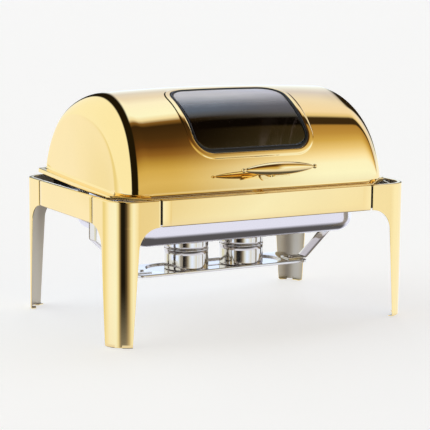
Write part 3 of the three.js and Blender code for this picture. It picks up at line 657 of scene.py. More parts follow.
class CHAFER_OT_supports(bpy.types.Operator):
    """Fold the pan support ring, the straps and the front hangers"""
    bl_idname = "chafer.supports"
    bl_label = "Supports"

    def execute(self, context):
        low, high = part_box("pan_support_ring")
        rings = folded_rings(low, high, 47 * MM, 3 * MM) + [(256.5 * MM, 160 * MM, 36 * MM, high.z)]
        # Painted shade: the ring gets the dark shaded_gold in place of bright mirror gold.
        piece("support_ring", [dished(rings)], ("shaded_gold",), "frame", ("pan_support_ring",),
              wall=1.6 * MM, edge=0.3 * MM, up=((high.x, CENTRE_Y, low.z), (1, 0, 0)))
        t, bend = 1 * MM, 3.2 * MM
        shelf_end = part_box("fuel_shelf")[1].x + 6 * MM
        for side, sx in SIDES:
            low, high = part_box(f"strap_{side}")
            wall, hang = sx * (RAIL_INSIDE - t), sx * STRAP_DROP
            line = [(wall, STRAP_TOP), (wall, STRAP_ARM), (hang, STRAP_ARM), (hang, STRAP_KNEE),
                    (sx * shelf_end, low.z + t), (sx * STRAP_END, low.z + t)]
            piece(f"shelf_strap_{side}", [strip_patch(rounded_line(line, bend), low.y, high.y, "X")],
                  ("mirror_steel",), "frame", (f"strap_{side}",), wall=2 * t,
                  offset=0.0, edge=0.4 * MM)
            low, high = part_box(f"front_hanger_{side}")
            line = [(low.y + t, HANGER_TOP), (low.y + t, STRAP_ARM), (high.y, STRAP_ARM)]
            piece(f"pan_hanger_{side}", [strip_patch(rounded_line(line, bend), low.x, high.x, "Y")],
                  ("fine_satin_steel",), "frame", (f"front_hanger_{side}",), wall=2 * t,
                  offset=0.0, edge=0.4 * MM)
        return {"FINISHED"}


class CHAFER_OT_shelf(bpy.types.Operator):
    """Press the fuel shelf with its long dish"""
    bl_idname = "chafer.shelf"
    bl_label = "Fuel shelf"

    def execute(self, context):
        low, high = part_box("fuel_shelf")
        lip, floor = 1.4 * MM, low.z + 1.4 * MM
        rings = folded_rings(low, high, 14 * MM, 1.8 * MM)
        down = [(lip * (1 - np.sin(t)), high.z - lip * (1 - np.cos(t))) for t in quarter(6)]
        down += [(-lip * (1 - np.cos(t)), floor + lip * (1 - np.sin(t))) for t in quarter(6)]
        rings += [(DISH_X + out, DISH_Y + out, DISH_Y + out - 0.1 * MM, z) for out, z in down]
        rings += [(DISH_X - DISH_Y + w, w, w * 0.999, floor) for w in (30 * MM, 12 * MM, 0.01 * MM)]
        piece("pressed_shelf", [dished(rings, per_corner=20, per_side=14)], ("mirror_steel",), "frame",
              ("fuel_shelf",), wall=1.2 * MM, edge=0.3 * MM,
              up=((0, CENTRE_Y, floor), (0, 0, 1)))
        return {"FINISHED"}


# ------------------------------------------------------------------------------ pans
def pan_rings(low, high, draft, *sizes):
    """Rings of a deep-drawn pan from the middle of its bottom to its rim: a flat, a quarter round,
    a wall that leans by the draft, a bend, and a flat rim with a turned-down edge. The sizes, in
    millimetres, are the well's half length, half depth and corner, the rim's corner and the
    bottom's round."""
    x, y, r, rim_r, bottom_r = (v * MM for v in sizes)
    rim_z, bend, curl = high.z - 1 * MM, 3 * MM, 0.4 * MM
    edge_x, edge_y = high.x - curl, (high.y - low.y) / 2 - curl

    def inset(z):
        """How far the leaning wall has moved inwards at a height."""
        return (rim_z - z) * draft

    g = quarter(9)
    knee = low.z + bottom_r
    rings = [(x * 0.35, 0.01 * MM, 0.009 * MM, low.z), (x * 0.6, y * 0.4, 30 * MM, low.z)]
    for t in g:
        pull = bottom_r * (1 - np.sin(t)) + inset(knee)
        rings.append((x - pull, y - pull, max(r - pull, 12 * MM), knee - bottom_r * np.cos(t)))
    for z in np.linspace(knee, rim_z - bend, 5)[1:]:
        rings.append((x - inset(z), y - inset(z), r - 0.35 * inset(z), z))
    for t in g[1:]:
        out = bend * (1 - np.cos(t))
        rings.append((x + out, y + out, r + out, rim_z - bend + bend * np.sin(t)))
    for k in (0.4, 0.75, 1.0):
        rings.append((x + bend + (edge_x - x - bend) * k, y + bend + (edge_y - y - bend) * k,
                      r + bend + (rim_r - r - bend) * k, rim_z))
    for t in g[1:]:
        out = curl * np.sin(t)
        rings.append((edge_x + out, edge_y + out, rim_r + out, rim_z - curl * (1 - np.cos(t))))
    return rings


class CHAFER_OT_pans(bpy.types.Operator):
    """Draw the water pan and the food pan"""
    bl_idname = "chafer.pans"
    bl_label = "Pans"

    def execute(self, context):
        for name, *sizes in (("water_pan", 0.12, 248.8, 155, 44, 44, 29),
                             ("food_pan", 0.1, 245, 147, 42, 40, 18)):
            low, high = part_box(name)
            rings = pan_rings(low, high, *sizes)
            piece(f"drawn_{name}", [dished(rings, per_corner=18, per_side=16)], ("pan_steel",), name,
                  (name,), wall=0.95 * MM, offset=1.0, edge=0.2 * MM,
                  up=((0, CENTRE_Y, low.z), (0, 0, 1)))
        return {"FINISHED"}


# ------------------------------------------------------------------------------ fuel holders
class CHAFER_OT_burners(bpy.types.Operator):
    """Spin the fuel holders and their covers, with finger tabs"""
    bl_idname = "chafer.burners"
    bl_label = "Fuel holders"

    def execute(self, context):
        for side, _ in SIDES:
            low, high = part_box(f"fuel_holder_{side}")
            place = Matrix.Translation(((low.x + high.x) / 2, CENTRE_Y, low.z))
            r, body, neck, w = 43.5 * MM, 41.5 * MM, 50 * MM, 1.1 * MM
            foot = arc(r - 2.2 * MM, 2.2 * MM, 2.2 * MM, -90, 0, 6)
            bead = arc(r - 0.5 * MM, body - 1.9 * MM, 1.25 * MM, -70, 80, 10)
            outside = [(0, 1.2 * MM), (r * 0.72, 1.2 * MM), (r * 0.8, 0.2 * MM), (r * 0.9, 0), *foot,
                       (r, 10 * MM), (r, 20 * MM), (r, 30 * MM), *bead,
                       (r - 1.2 * MM, body), (r - 2 * MM, body + 0.8 * MM), (r - 2 * MM, neck - 0.8 * MM),
                       (r - 2.4 * MM, neck)]
            inside = [(r - 2 * MM - w, neck - 0.6 * MM), (r - 2 * MM - w, 4 * MM),
                      (r - 6 * MM, 2.4 * MM), (0, 2.4 * MM)]
            holder = [moved(turned(outside + inside, 96), place)]
            piece(f"spun_fuel_holder_{side}", holder, ("mirror_steel",), f"fuel_holder_{side}",
                  (f"fuel_holder_{side}",))
            top, start = 57 * MM, body + 0.3 * MM
            crown = arc(r - 2.2 * MM, top - 2.2 * MM, 2.2 * MM, 0, 90, 8)
            outer = [(r - w, start), (r, start + 0.3 * MM), (r, start + 5 * MM), *crown,
                     (r * 0.86, top), (r * 0.82, top - 0.9 * MM), (r * 0.3, top - 0.9 * MM),
                     (0, top - 0.9 * MM)]
            inner = [(0, top - 2 * MM), (r * 0.8, top - 2 * MM), (r - w - 1 * MM, top - 2.6 * MM),
                     (r - w, top - 4 * MM), (r - w, start)]
            cover = [moved(turned(outer + inner, 96), place)]
            piece(f"spun_cover_{side}", cover, ("mirror_steel",), f"fuel_cover_{side}",
                  (f"fuel_cover_{side}",))
            self.tab(side, place, r)
        return {"FINISHED"}

    def tab(self, side, place, r):
        """A tongue: half width 6 mm that closes to a round end, bent out from a short foot."""
        z, half_width, reach = 48 * MM, 6 * MM, 15 * MM
        out = z + 0.6 * MM
        corners = [(r + 0.8 * MM, z - 5 * MM), (r + 0.8 * MM, out), (r + reach, out)]
        line = rounded_line(corners, 1.5 * MM, 6)
        extra = np.linspace(line[-2, 0], line[-1, 0], 16)[1:]
        line = np.concatenate([line[:-1], np.column_stack([extra, np.full(15, out)])])
        past = np.clip(line[:, 0] - (r + reach - half_width), 0, half_width)
        half = np.sqrt(np.maximum(half_width ** 2 - past ** 2, (0.3 * MM) ** 2))
        tongue = patch(grid(line[:, :1], half[:, None] * np.linspace(-1, 1, 9), line[:, 1:]))
        rivet = [(0, 0), (1.8 * MM, 0), (1.6 * MM, 0.7 * MM), (1.0 * MM, 1.1 * MM), (0, 1.2 * MM)]
        lean = Matrix.Translation((r + 1.2 * MM, 0, z - 2.6 * MM)) @ Matrix.Rotation(np.pi / 2, 4, "Y")
        piece(f"finger_tab_{side}", [moved(tongue, place)], ("mirror_steel",), f"fuel_cover_{side}",
              (f"cover_tab_{side}",), wall=1.0 * MM, offset=0.0, edge=0.2 * MM)
        piece(f"tab_rivet_{side}", [moved(turned(rivet, 20), place @ lean)], ("fine_satin_steel",),
              f"fuel_cover_{side}", ())


# ------------------------------------------------------------------------------ lid
def from_lid(points):
    """Lid coordinates about the pivot to the row frame: a turn by the pitch, then the pivot."""
    l = group_of("chafer_lid")
    x, y, z = points[..., 0], points[..., 1], points[..., 2]
    c, s = np.cos(l.pitch), np.sin(l.pitch)
    return grid(x, y * c - z * s, y * s + z * c) + PIVOT


def lid_matrix():
    """The same move as a matrix."""
    l = group_of("chafer_lid")
    return Matrix.Translation(Vector(PIVOT)) @ Matrix.Rotation(l.pitch, 4, "X")


def barrel_radius(a, x):
    """Radius of the barrel: it falls with the square of x, fully at the crest and not at the foot."""
    l = group_of("chafer_lid")
    turn = np.degrees(a)
    return l.radius - l.bow * (x / 0.2) ** 2 * smooth((turn - 32) / 48) * smooth((172 - turn) / 60)


def end_fillet(a):
    """Radius of the end fillet: it tightens from the front round to the rear."""
    l = group_of("chafer_lid")
    return l.fillet + (l.fillet_rear - l.fillet) * smooth((np.degrees(a) - 81) / 63)


def on_barrel(x, s, lift):
    """A point of the barrel: x along it, s round it from the front horizontal, lift outwards."""
    l = group_of("chafer_lid")
    a = s / l.radius
    r = barrel_radius(a, x) + lift
    return from_lid(grid(x, -r * np.cos(a), r * np.sin(a)))


def window_edge(base_x, base_s, inset=0.0, foot=0.0):
    """The nearest point of the window's outline to a base point, and the way out to it. The outline
    is a rounded rectangle; foot is a further inset that fades in where the way points down."""
    l = group_of("chafer_lid")
    s_low, s_high = l.window_low * l.radius, l.window_high * l.radius
    r = np.where(base_s < (s_low + s_high) / 2, l.corner_low, l.corner_high)
    core_x = np.clip(base_x, l.window_middle - l.window_x + r, l.window_middle + l.window_x - r)
    core_s = np.clip(base_s, s_low + r, s_high - r)
    dx, ds = base_x - core_x, base_s - core_s
    d = np.hypot(dx, ds)
    dx, ds = dx / d, ds / d
    reach = r - inset - foot * np.clip(-ds, 0, 1) ** 3
    return core_x + dx * reach, core_s + ds * reach, dx, ds


def window_loop(count=48):
    """Base points round a rectangle outside the window, one loop."""
    l = group_of("chafer_lid")
    margin = 26 * MM
    x0 = l.window_x + margin
    s0, s1 = l.window_low * l.radius - margin + 1 * MM, l.window_high * l.radius + margin - 1 * MM
    xs, ss = np.linspace(-x0, x0, 61) + l.window_middle, np.linspace(s0, s1, count)
    loop_x = np.concatenate([xs[:-1], np.full(count - 1, xs[-1]), xs[:0:-1],
                             np.full(count - 1, xs[0])])
    loop_s = np.concatenate([np.full(60, s0), ss[:-1], np.full(60, s1), ss[:0:-1]])
    return xs, ss, loop_x, loop_s


def lid_patches():
    """The lid's skin. For each angle a round the barrel, a profile runs up the left end wall, round
    the fillet, along the barrel, and down the right end. On a profile the distance from the pivot
    axis is rho, and x = half length - draft * height - fillet * (1 - cos b) + dome. The walls stop
    at the height where the rim's fillet starts. A rectangle round the window is left out, and a
    ring of the same barrel with a raised border fills it up to the opening."""
    l = group_of("chafer_lid")
    r, fil = l.radius, l.fillet
    rf = 5 * MM
    z0 = l.rim_low + l.rim_drop + rf
    xs, ss, loop_x, loop_s = window_loop()
    bend = np.radians(np.linspace(90, 0, 18))
    corner = np.arcsin(z0 / (r - fil + fil * np.sin(bend)))
    corner_rear = np.arcsin(z0 / (r - l.fillet_rear + l.fillet_rear * np.sin(bend)))
    front = np.concatenate([corner, np.linspace(corner[-1], ss[0] / r, 10)[1:-1]])
    hole = ss / r
    rear = np.linspace(hole[-1], np.pi - corner_rear[-1], 58)[1:]
    back = np.pi - corner_rear[::-1][1:]
    a = np.concatenate([front, hole, rear, back])
    rho_low = z0 / np.sin(a)

    fil = end_fillet(a)[:, None]
    run = l.half_length - np.tan(l.draft) * r * np.sin(a)[:, None] - fil
    top = barrel_radius(a[:, None], run)
    lean = np.arctan(2 * (r - top) / run)
    inner = top - fil * np.cos(lean)
    wall = np.linspace(0, 1, 26)[:-1]
    rho_wall = np.minimum(rho_low[:, None], inner) * (1 - wall) + inner * wall
    start = np.arcsin(np.clip((rho_low[:, None] - inner) / fil, 0, 1))
    b = start + (np.pi / 2 - lean - start) * np.linspace(0, 1, 19)
    b = np.where(rho_low[:, None] >= r - 1e-9, np.pi / 2, b)
    rho = np.concatenate([rho_wall, inner + fil * np.sin(b)], axis=1)
    pull = np.concatenate([np.zeros_like(rho_wall), fil * (1 - np.cos(b))], axis=1)
    dome = np.where(rho < inner, l.dome * (1 - (rho / inner) ** 2) ** 2, 0.0)
    x_end = l.half_length - np.tan(l.draft) * rho * np.sin(a)[:, None] - pull + dome
    x_run = x_end[:, -1:]
    lead = np.linspace(0, 1, 12)[1:-1]
    x_mid = np.concatenate([-x_run * (1 - lead) + xs[0] * lead, np.broadcast_to(xs, (len(a), len(xs))),
                            (x_run * (1 - lead) + xs[-1] * lead)[:, ::-1]], axis=1)
    x = np.concatenate([-x_end, x_mid, x_end[:, ::-1]], axis=1)
    rho = np.concatenate([rho, barrel_radius(a[:, None], x_mid), rho[:, ::-1]], axis=1)
    skin = grid(x, -rho * np.cos(a)[:, None], rho * np.sin(a)[:, None])

    rows, cols = x.shape
    faces = quads(rows, cols).reshape(rows - 1, cols - 1, 4)
    h0, h1 = len(front), len(front) + len(hole) - 1
    c0 = x_end.shape[1] + len(lead)
    c1 = c0 + len(xs) - 1
    keep = np.ones((rows - 1, cols - 1), bool)
    keep[h0:h1, c0:c1] = False
    main = (from_lid(skin).reshape(-1, 3), faces[keep])

    ox, os_, dx, ds = window_edge(loop_x, loop_s)
    near = np.array([0, 0, 1, 3, 6, 8.4, 9.2, 10, 10.8, 11.6, 12.4, 13.2]) * MM
    lift = 1.25 * MM * (1 - smooth((near - l.border + 0.6 * MM) / (3.6 * MM)))
    lift[0] = -1.6 * MM
    lift[1] = lift[2] - 0.5 * MM
    px, ps = ox + dx * near[:, None], os_ + ds * near[:, None]
    far = np.linspace(0, 1, 7)[1:, None]
    qx, qs = px[-1] + (loop_x - px[-1]) * far, ps[-1] + (loop_s - ps[-1]) * far
    ring = on_barrel(np.concatenate([px, qx]), np.concatenate([ps, qs]),
                     np.concatenate([np.broadcast_to(lift[:, None], px.shape), np.zeros_like(qx)]))
    border = patch(ring, wrap=True)

    left, right = skin[:, 0], skin[::-1, -1]
    start, curved = start[:, 0], rho_low > inner[:, 0]
    n_y = np.where(curved, np.sin(start) * -np.cos(a), 0.0)
    n_x = np.where(curved, np.cos(start), 1.0)
    n = np.stack([-n_x, n_y], axis=-1)
    n /= np.linalg.norm(n, axis=1, keepdims=True)
    long_rear, long_front = skin[-1, 1:-1], skin[0, 1:-1][::-1]
    loop = np.concatenate([left, long_rear, right, long_front])
    normal = np.concatenate([n, np.tile([0.0, 1.0], (len(long_rear), 1)), (n * [-1, 1])[::-1],
                             np.tile([0.0, -1.0], (len(long_front), 1))])
    return [main, border, rim_patch(loop, normal, rf)]


def rim_patch(loop, normal, rf):
    """The rim round the foot of the walls, carried along the loop's outward normals: a fillet, a
    flat flange, a bend and a turned-down edge. Its width joins the end's and the front's widths as
    the length of (width_x * n_x, width_y * n_y)."""
    l = group_of("chafer_lid")
    top, b = l.rim_low + l.rim_drop, 2.4 * MM
    wide_x, wide_y = l.rim_x - loop[:, 0].max(), l.rim_y - loop[:, 1].max()
    width = np.hypot(wide_x * normal[:, 0], wide_y * normal[:, 1])
    g = quarter(9)
    out = [np.tile((rf * (1 - np.cos(t))), len(loop)) for t in g]
    high = [top + rf * (1 - np.sin(t)) for t in g]
    for k in (0.35, 0.7, 1.0):
        out.append(rf + (width - b - rf) * k)
        high.append(top)
    for t in g[1:]:
        out.append(width - b + b * np.sin(t))
        high.append(top - b * (1 - np.cos(t)))
    for h in np.linspace(top - b, l.rim_low, 4)[1:]:
        out.append(width)
        high.append(h)
    out, high = np.array(out), np.array(high)
    x = loop[:, 0] + normal[:, 0] * out
    y = loop[:, 1] + normal[:, 1] * out
    return patch(from_lid(grid(x, y, high[:, None])), wrap=True)


class CHAFER_OT_lid(bpy.types.Operator):
    """Press the barrel lid with its rim and the raised window border"""
    bl_idname = "chafer.lid"
    bl_label = "Lid"

    def execute(self, context):
        l = context.scene.chafer_lid
        crest = PIVOT + np.array([0, 0.5 * l.radius, 0.86 * l.radius])
        piece("pressed_lid", lid_patches(), ("mirror_gold", "mirror_steel"), "lid", ("lid_shell",),
              wall=l.sheet, edge=0.3 * MM, up=(crest, (0, 0.5, 0.86)), inner=1)
        return {"FINISHED"}


class CHAFER_OT_window(bpy.types.Operator):
    """Set the smoked window in its gasket and clamp it with the retaining frame"""
    bl_idname = "chafer.window"
    bl_label = "Window"

    def execute(self, context):
        l = context.scene.chafer_lid
        _, _, loop_x, loop_s = window_loop()
        width, foot = l.gasket, l.gasket_foot - l.gasket

        def ring(inset, foot, lift):
            """Points round the opening, inset from it and lifted off the barrel."""
            x, s, _, _ = window_edge(loop_x, loop_s, inset, foot)
            return on_barrel(x, s, lift)

        g = np.linspace(0, 1, 11)
        rows = [(k, 0.2 * MM + 1.35 * MM * h) for k, h in zip(g, np.sin(g * np.pi) ** 0.45)]
        rows += [(k, -1.6 * MM) for k in (1.0, 0.5, 0.0)]
        bead = [ring(0.2 * MM + width * k, foot * k, lift) for k, lift in (*rows, rows[0])]
        piece("rubber_gasket", [patch(np.array(bead), wrap=True)], ("gasket_rubber",), "lid",
              ("window_gasket",))

        clip = [ring(inset * MM, foot * (inset > 0), lift * MM)
                for inset, lift in ((-9, -2.9), (-9, -4.3), (6.6, -4.3), (6.6, -2.9), (-9, -2.9))]
        piece("retaining_frame", [patch(np.array(clip), wrap=True)], ("fine_satin_steel",), "lid",
              ("window_retainer",), edge=0.3 * MM)

        x, s, _, _ = window_edge(loop_x, loop_s, width - 0.9 * MM, foot)
        x_mid, s_mid = l.window_middle, (l.window_low + l.window_high) / 2 * l.radius
        shrink = np.linspace(1, 0, 30)[:, None]
        outer, inner = (on_barrel(x_mid + (x - x_mid) * shrink, s_mid + (s - s_mid) * shrink, lift)
                        for lift in (-0.4 * MM, -1.7 * MM))
        piece("smoked_window", [patch(np.concatenate([outer[::-1], inner]), wrap=True)],
              ("smoked_pane",), "lid", ("window_glass",))
        return {"FINISHED"}


class CHAFER_OT_handle(bpy.types.Operator):
    """Turn the spindle handle and bend its bracket"""
    bl_idname = "chafer.handle"
    bl_label = "Handle"

    def execute(self, context):
        l = context.scene.chafer_lid
        r, half, tip = l.handle_radius, l.handle_half, 4.2 * MM
        neck = half - 2.35 * tip
        u = np.linspace(-1, 1, 61)
        swell = tip * 0.72 + (r - tip * 0.72) * (1 - u ** 2) ** 0.85
        ball = arc(0, 0, tip, -52, 90, 14)
        bar = np.column_stack([swell, u * neck])
        right = np.column_stack([ball[:, 0], ball[:, 1] + half - tip])
        left = (right * [1, -1])[::-1]
        groove = np.array([[tip * 0.55, neck + 0.25 * tip]])
        profile = np.concatenate([left, groove * [1, -1], bar, groove, right])
        profile[[0, -1], 0] = 0
        along = Matrix.Translation((0, -241 * MM, 68.6 * MM)) @ Matrix.Rotation(np.pi / 2, 4, "Y")
        piece("spindle_handle", [moved(turned(profile, 72), lid_matrix() @ along)], ("gold_handle",), "lid",
              ("handle_bar",))
        self.bracket(l)
        screws = []
        for x in (-7 * MM, 7 * MM):
            shank = screw_profile(2.1 * MM, 6 * MM, 4.2 * MM, 2.2 * MM)
            lean = Matrix.Rotation(np.pi / 2 - BRACKET_ANGLE, 4, "X")
            lift = Matrix.Translation((0, 0, l.radius + 3 * MM)) @ Matrix.Rotation(np.pi, 4, "X")
            start = lid_matrix() @ Matrix.Translation((x, 0, 0))
            screws.append(moved(turned(shank, 24), start @ lean @ lift))
        piece("handle_screws", screws, ("fine_satin_steel",), "lid",
              [f"handle_screw_{side}" for side, _ in SIDES])
        return {"FINISHED"}

    def bracket(self, l):
        """A bent plate: its half width falls from 20 mm under the bar to 10 mm at the barrel, and
        then it lies on the barrel as a rounded foot."""
        a = BRACKET_ANGLE
        away = np.array([-np.cos(a), np.sin(a)])
        down = np.array([-np.sin(a), -np.cos(a)])
        foot = away * (l.radius + 2.2 * MM)
        corners = [(-247.5 * MM, 56.4 * MM), (-241 * MM, 54.9 * MM), (-230 * MM, 53.6 * MM),
                   foot - down * 2 * MM + away * 1.0 * MM, foot + down * 11 * MM]
        line = rounded_line(corners, 4.0 * MM, 8)
        runs = [np.linspace(p, q, 5)[:-1] for p, q in zip(line[:-1], line[1:])]
        path = np.concatenate([*runs, line[-1:]])
        run = np.concatenate([[0], np.cumsum(np.linalg.norm(np.diff(path, axis=0), axis=1))])
        k = run / run[-1]
        half = 20 * MM - 10 * MM * smooth((k - 0.05) / 0.72)
        nose = np.clip((run - (run[-1] - 10 * MM)) / (10 * MM), 0, 0.98)
        half = half * np.sqrt(1 - nose ** 2 * 0.9)
        lead = np.clip((5 * MM - run) / (5 * MM), 0, 1)
        half = half - 5 * MM * (1 - np.sqrt(1 - lead ** 2))
        plate = from_lid(grid(half[:, None] * np.linspace(-1, 1, 17), path[:, :1], path[:, 1:]))
        piece("handle_plate", [patch(plate)], ("gold_handle",), "lid", ("handle_bracket",),
              wall=2.6 * MM, offset=0.0, edge=0.5 * MM)


class CHAFER_OT_pivots(bpy.types.Operator):
    """Turn the pivot pins, clips and bushes, and finish the plates and ears"""
    bl_idname = "chafer.pivots"
    bl_label = "Pivots"

    def execute(self, context):
        for side, sx in SIDES:
            face = Matrix.Translation(Vector(PIVOT)) @ Matrix.Rotation(sx * np.pi / 2, 4, "Y")
            collar, r = RAIL_INSIDE - 4.3 * MM, PIN_RADIUS
            nose = arc(r - 1 * MM, PIN_START + 1 * MM, 1 * MM, -90, 0, 5)
            bevel = arc(COLLAR_RADIUS - 0.5 * MM, collar - 2.5 * MM, 0.5 * MM, -90, 0, 4)
            pin = [(0, PIN_START), *nose, (r, collar - 3 * MM), *bevel, (COLLAR_RADIUS, collar),
                   (r, collar), (r, RAIL_INSIDE), (0, RAIL_INSIDE)]
            piece(f"turned_pin_{side}", [moved(turned(pin, 48), face)], ("mirror_steel",), "frame",
                  (f"pivot_pin_{side}",))
            for name, body, finish, slot, *sizes in (
                    ("pivot_clip", "frame", "satin_steel", "satin_steel", 5.3, 8.4, 274, 275.6),
                    ("pivot_bush", "lid", "mirror_steel", "polished_steel", 5.35, 7.95, 277, 283)):
                hole, wide, start, stop, c = (v * MM for v in (*sizes, 0.4))
                ring = [(hole, start + c), (hole + c, start), (wide - c, start), (wide, start + c),
                        (wide, stop - c), (wide - c, stop), (hole + c, stop), (hole, stop - c),
                        (hole, start + c)]
                piece(f"turned_{name}_{side}", [moved(turned(ring, 48), face)], (finish,), body,
                      (f"{name}_{side}",))
            for node in (f"pivot_plate_{side}", f"pivot_ear_{side}"):
                mesh = frame["nodes"][node].data
                mesh.materials.clear()
                mesh.materials.append(bpy.data.materials["fine_satin_steel"])
        return {"FINISHED"}


# ------------------------------------------------------------------------------ stage
LOW_LIGHT = ((-180, (1.0, 1.04, 1.1)), (-156, (1.0, 1.04, 1.1)), (-148, (0.86, 0.84, 0.6)),
             (-138, (0.86, 0.84, 0.6)), (-122, (0.97, 1.0, 0.95)), (-106, (1.0, 1.12, 1.4)),
             (-74, (1.0, 1.18, 1.5)), (-64, (0.86, 0.9, 0.8)), (-57, (0.28, 0.22, 0.14)),
             (-51, (0.012, 0.011, 0.010)), (-37, (0.012, 0.011, 0.010)), (-28, (0.09, 0.07, 0.05)),
             (-18, (0.46, 0.39, 0.27)), (-9, (0.9, 0.95, 0.9)), (2, (1.0, 1.14, 1.4)),
             (20, (0.95, 0.98, 0.95)), (26, (0.84, 0.79, 0.62)), (31, (0.97, 1.1, 1.3)),
             (36, (0.93, 0.95, 0.95)), (60, (1.0, 1.08, 1.2)), (180, (1.0, 1.04, 1.1)))
LEFT_LIGHT = ((0, (0.66, 0.53, 0.24)), (14, (0.73, 0.6, 0.29)), (27, (0.67, 0.52, 0.2)),
              (36, (0.5, 0.35, 0.1)), (45, (0.28, 0.15, 0.04)), (55, (0.13, 0.06, 0.018)),
              (68, (0.07, 0.037, 0.013)), (86, (0.04, 0.023, 0.01)), (92, (0.23, 0.13, 0.04)),
              (97, (0.89, 0.9, 0.9)), (104, (1.0, 1.2, 1.5)), (126, (1.0, 1.12, 1.4)),
              (138, (0.85, 0.87, 1.05)), (152, (0.76, 0.8, 1.0)), (172, (0.98, 1.15, 1.4)))
RIGHT_LIGHT = ((0, (0.92, 1.05, 1.3)), (12, (1.0, 1.2, 1.5)), (24, (1.0, 1.16, 1.4)),
               (32, (0.99, 1.0, 0.98)), (42, (0.84, 0.73, 0.48)), (52, (0.66, 0.5, 0.19)),
               (62, (0.52, 0.35, 0.115)), (74, (0.43, 0.27, 0.085)), (77, (0.04, 0.025, 0.014)),
               (87, (0.045, 0.03, 0.015)), (91, (0.8, 0.72, 0.53)), (98, (0.94, 0.9, 0.95)),
               (121, (0.9, 0.92, 1.1)), (142, (0.72, 0.77, 1.1)), (165, (0.98, 1.15, 1.4)))


def studio_light(world, plain):
    """The studio as a function of the direction (x, y, z). The bearing is the angle from the front,
    the arctangent of x over minus y. The roll is the angle round the X axis from the front
    horizontal, the arctangent of z over minus y. Low directions take their colour from the bearing
    and high ones from the roll, with one table for a darker room at the left and one for a brighter
    room at the right. Over these lie a white wall at the far left, a black gap between slanting
    edges beside it, and a black slot at the far right. The ground's colour comes from z. Camera
    rays see a plain pale backdrop."""
    n = Nodes(world)
    peak = 1.5
    x, y, z = n.add("ShaderNodeSeparateXYZ", Vector=n.add("ShaderNodeTexCoord").outputs["Generated"]).outputs
    front = n.math("MULTIPLY", y, -1.0)
    deg = 180 / np.pi
    bearing = n.math("MULTIPLY", n.math("ARCTAN2", x, front), deg)
    roll = n.math("MULTIPLY", n.math("ARCTAN2", z, front), deg)

    def light(angle, table, start, span):
        """The colour of a table at an angle; the table's angles run over the span from the start."""
        share = n.math("DIVIDE", n.math("SUBTRACT", angle, start), span)
        return n.ramp(share, *(((a - start) / span, tinted(rgb, 1 / peak)) for a, rgb in table))

    def blend(mask, first, second):
        """The first colour where the mask is 0 and the second where it is 1."""
        mix = n.add("ShaderNodeMix", {"data_type": "RGBA"})
        n.plug(mix, "i0", mask)
        for socket, value in ((mix.inputs[6], first), (mix.inputs[7], second)):
            if isinstance(value, tuple):
                socket.default_value = (*tinted(value, 1 / peak), 1.0)
            else:
                n.tree.links.new(value, socket)
        return mix.outputs[2]

    high = blend(n.step(x, 0.455, 0.55), light(roll, LEFT_LIGHT, 0, 180), light(roll, RIGHT_LIGHT, 0, 180))
    gap_end = n.step(n.math("ADD", x, n.math("MULTIPLY", y, -0.5)), -0.125, -0.03)
    gap_start = n.step(n.math("ADD", x, n.math("MULTIPLY", y, -0.68)), -0.53, -0.46)
    high = blend(gap_end, (0.013, 0.010, 0.005), high)
    high = blend(gap_start, (1.0, 1.06, 1.05), high)
    slot = n.math("MULTIPLY", n.step(bearing, 112, 118), n.step(x, 0.57, 0.64))
    slot = n.math("MULTIPLY", slot, n.step(z, 0.6, 0.8, 1.0, 0.0))
    high = blend(slot, high, (0.02, 0.014, 0.007))
    level = blend(n.step(z, -0.01, 0.05), light(bearing, LOW_LIGHT, -180, 360), high)
    ground = blend(n.step(z, -0.5, -0.8), (0.86, 0.87, 0.97), (0.10, 0.095, 0.095))
    level = blend(n.step(z, -0.20, -0.32), level, ground)
    studio = n.add("ShaderNodeBackground", Color=level)
    studio.inputs["Strength"].default_value = peak
    backdrop = n.add("ShaderNodeBackground")
    backdrop.inputs["Color"].default_value = (*plain, 1.0)
    mix = n.add("ShaderNodeMixShader")
    n.plug(mix, "i0", n.add("ShaderNodeLightPath").outputs["Is Camera Ray"])
    n.plug(mix, "i1", studio.outputs[0])
    n.plug(mix, "i2", backdrop.outputs[0])
    n.tree.links.new(mix.outputs[0], n.add("ShaderNodeOutputWorld").inputs[0])


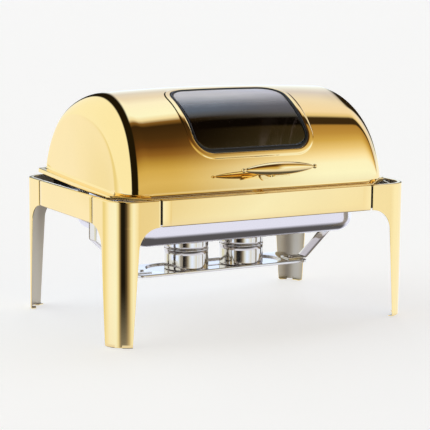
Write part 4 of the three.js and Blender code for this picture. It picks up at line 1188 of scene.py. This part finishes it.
class CHAFER_OT_stage(bpy.types.Operator):
    """Lay the pale floor, light the studio and place the camera"""
    bl_idname = "chafer.stage"
    bl_label = "Stage"

    def execute(self, context):
        scene = context.scene
        s, f = scene.chafer_stage, scene.chafer_finishes
        cos, sin = np.cos, np.sin
        ahead = Vector((sin(s.yaw) * cos(s.tilt), cos(s.yaw) * cos(s.tilt), -sin(s.tilt)))
        right = Vector((cos(s.yaw), -sin(s.yaw), 0))
        up = right.cross(ahead)
        right, up = right * cos(s.roll) + up * sin(s.roll), up * cos(s.roll) - right * sin(s.roll)
        camera = bpy.data.objects.new("camera", bpy.data.cameras.new("camera"))
        scene.collection.objects.link(camera)
        facing = Matrix((right, up, -ahead)).transposed().to_4x4()
        camera.matrix_world = Matrix.Translation(Vector(s.place)) @ facing
        camera.data.lens = s.lens
        camera.data.sensor_width = 36
        camera.data.clip_end = 60
        scene.camera = camera

        n = fresh("pale_floor")
        grain = n.noise(n.place(), 6.0, 3.0)
        shade = n.ramp(grain, (0.3, tinted(f.floor, 0.985)), (0.7, tuple(f.floor)))
        shader = n.surface(Base_Color=shade, Roughness=0.9)
        shader.inputs["Emission Color"].default_value = (1.0, 1.0, 1.0, 1.0)
        shader.inputs["Emission Strength"].default_value = 0.60
        across = np.linspace(-FLOOR_REACH, FLOOR_REACH, 9)
        points, faces = patch(grid(across, across[:, None], FLOOR_HEIGHT))
        mesh = bpy.data.meshes.new("floor")
        mesh.from_pydata(points.tolist(), [], faces.tolist())
        mesh.materials.append(bpy.data.materials["pale_floor"])
        floor = bpy.data.objects.new("floor", mesh)
        scene.collection.objects.link(floor)
        floor.visible_glossy = False

        scene.world = bpy.data.worlds.new("studio")
        studio_light(scene.world, (0.97, 0.97, 0.965))
        scene.view_settings.view_transform = "Standard"
        scene.view_settings.look = "None"
        return {"FINISHED"}


class CHAFER_PT_panel(bpy.types.Panel):
    """Lists the steps that build the chafer"""
    bl_idname = "CHAFER_PT_panel"
    bl_label = "Roll Top Chafer"
    bl_space_type = "VIEW_3D"
    bl_region_type = "UI"
    bl_category = "Chafer"

    def draw(self, context):
        for operator in STEPS:
            self.layout.operator(operator.bl_idname)


GROUPS = (("chafer_frame", ChaferFrameSizes), ("chafer_lid", ChaferLidSizes),
          ("chafer_finishes", ChaferFinishes), ("chafer_stage", ChaferStage))
STEPS = (CHAFER_OT_finishes, CHAFER_OT_legs, CHAFER_OT_rails, CHAFER_OT_screws, CHAFER_OT_supports,
         CHAFER_OT_shelf, CHAFER_OT_pans, CHAFER_OT_burners, CHAFER_OT_lid, CHAFER_OT_window,
         CHAFER_OT_handle, CHAFER_OT_pivots, CHAFER_OT_stage)


def register():
    """Adds the property groups, the operators and the panel."""
    for _, group in GROUPS:
        bpy.utils.register_class(group)
    for cls in (*STEPS, CHAFER_PT_panel):
        bpy.utils.register_class(cls)
    for name, group in GROUPS:
        setattr(bpy.types.Scene, name, bpy.props.PointerProperty(type=group))


def unregister():
    """Takes them away again."""
    for name, _ in GROUPS:
        delattr(bpy.types.Scene, name)
    for cls in (CHAFER_PT_panel, *reversed(STEPS)):
        bpy.utils.unregister_class(cls)
    for _, group in reversed(GROUPS):
        bpy.utils.unregister_class(group)


def main():
    """Runs every step."""
    register()
    for operator in STEPS:
        getattr(bpy.ops.chafer, operator.bl_idname.split(".")[1])()
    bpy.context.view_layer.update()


if __name__ == "__main__":
    main()
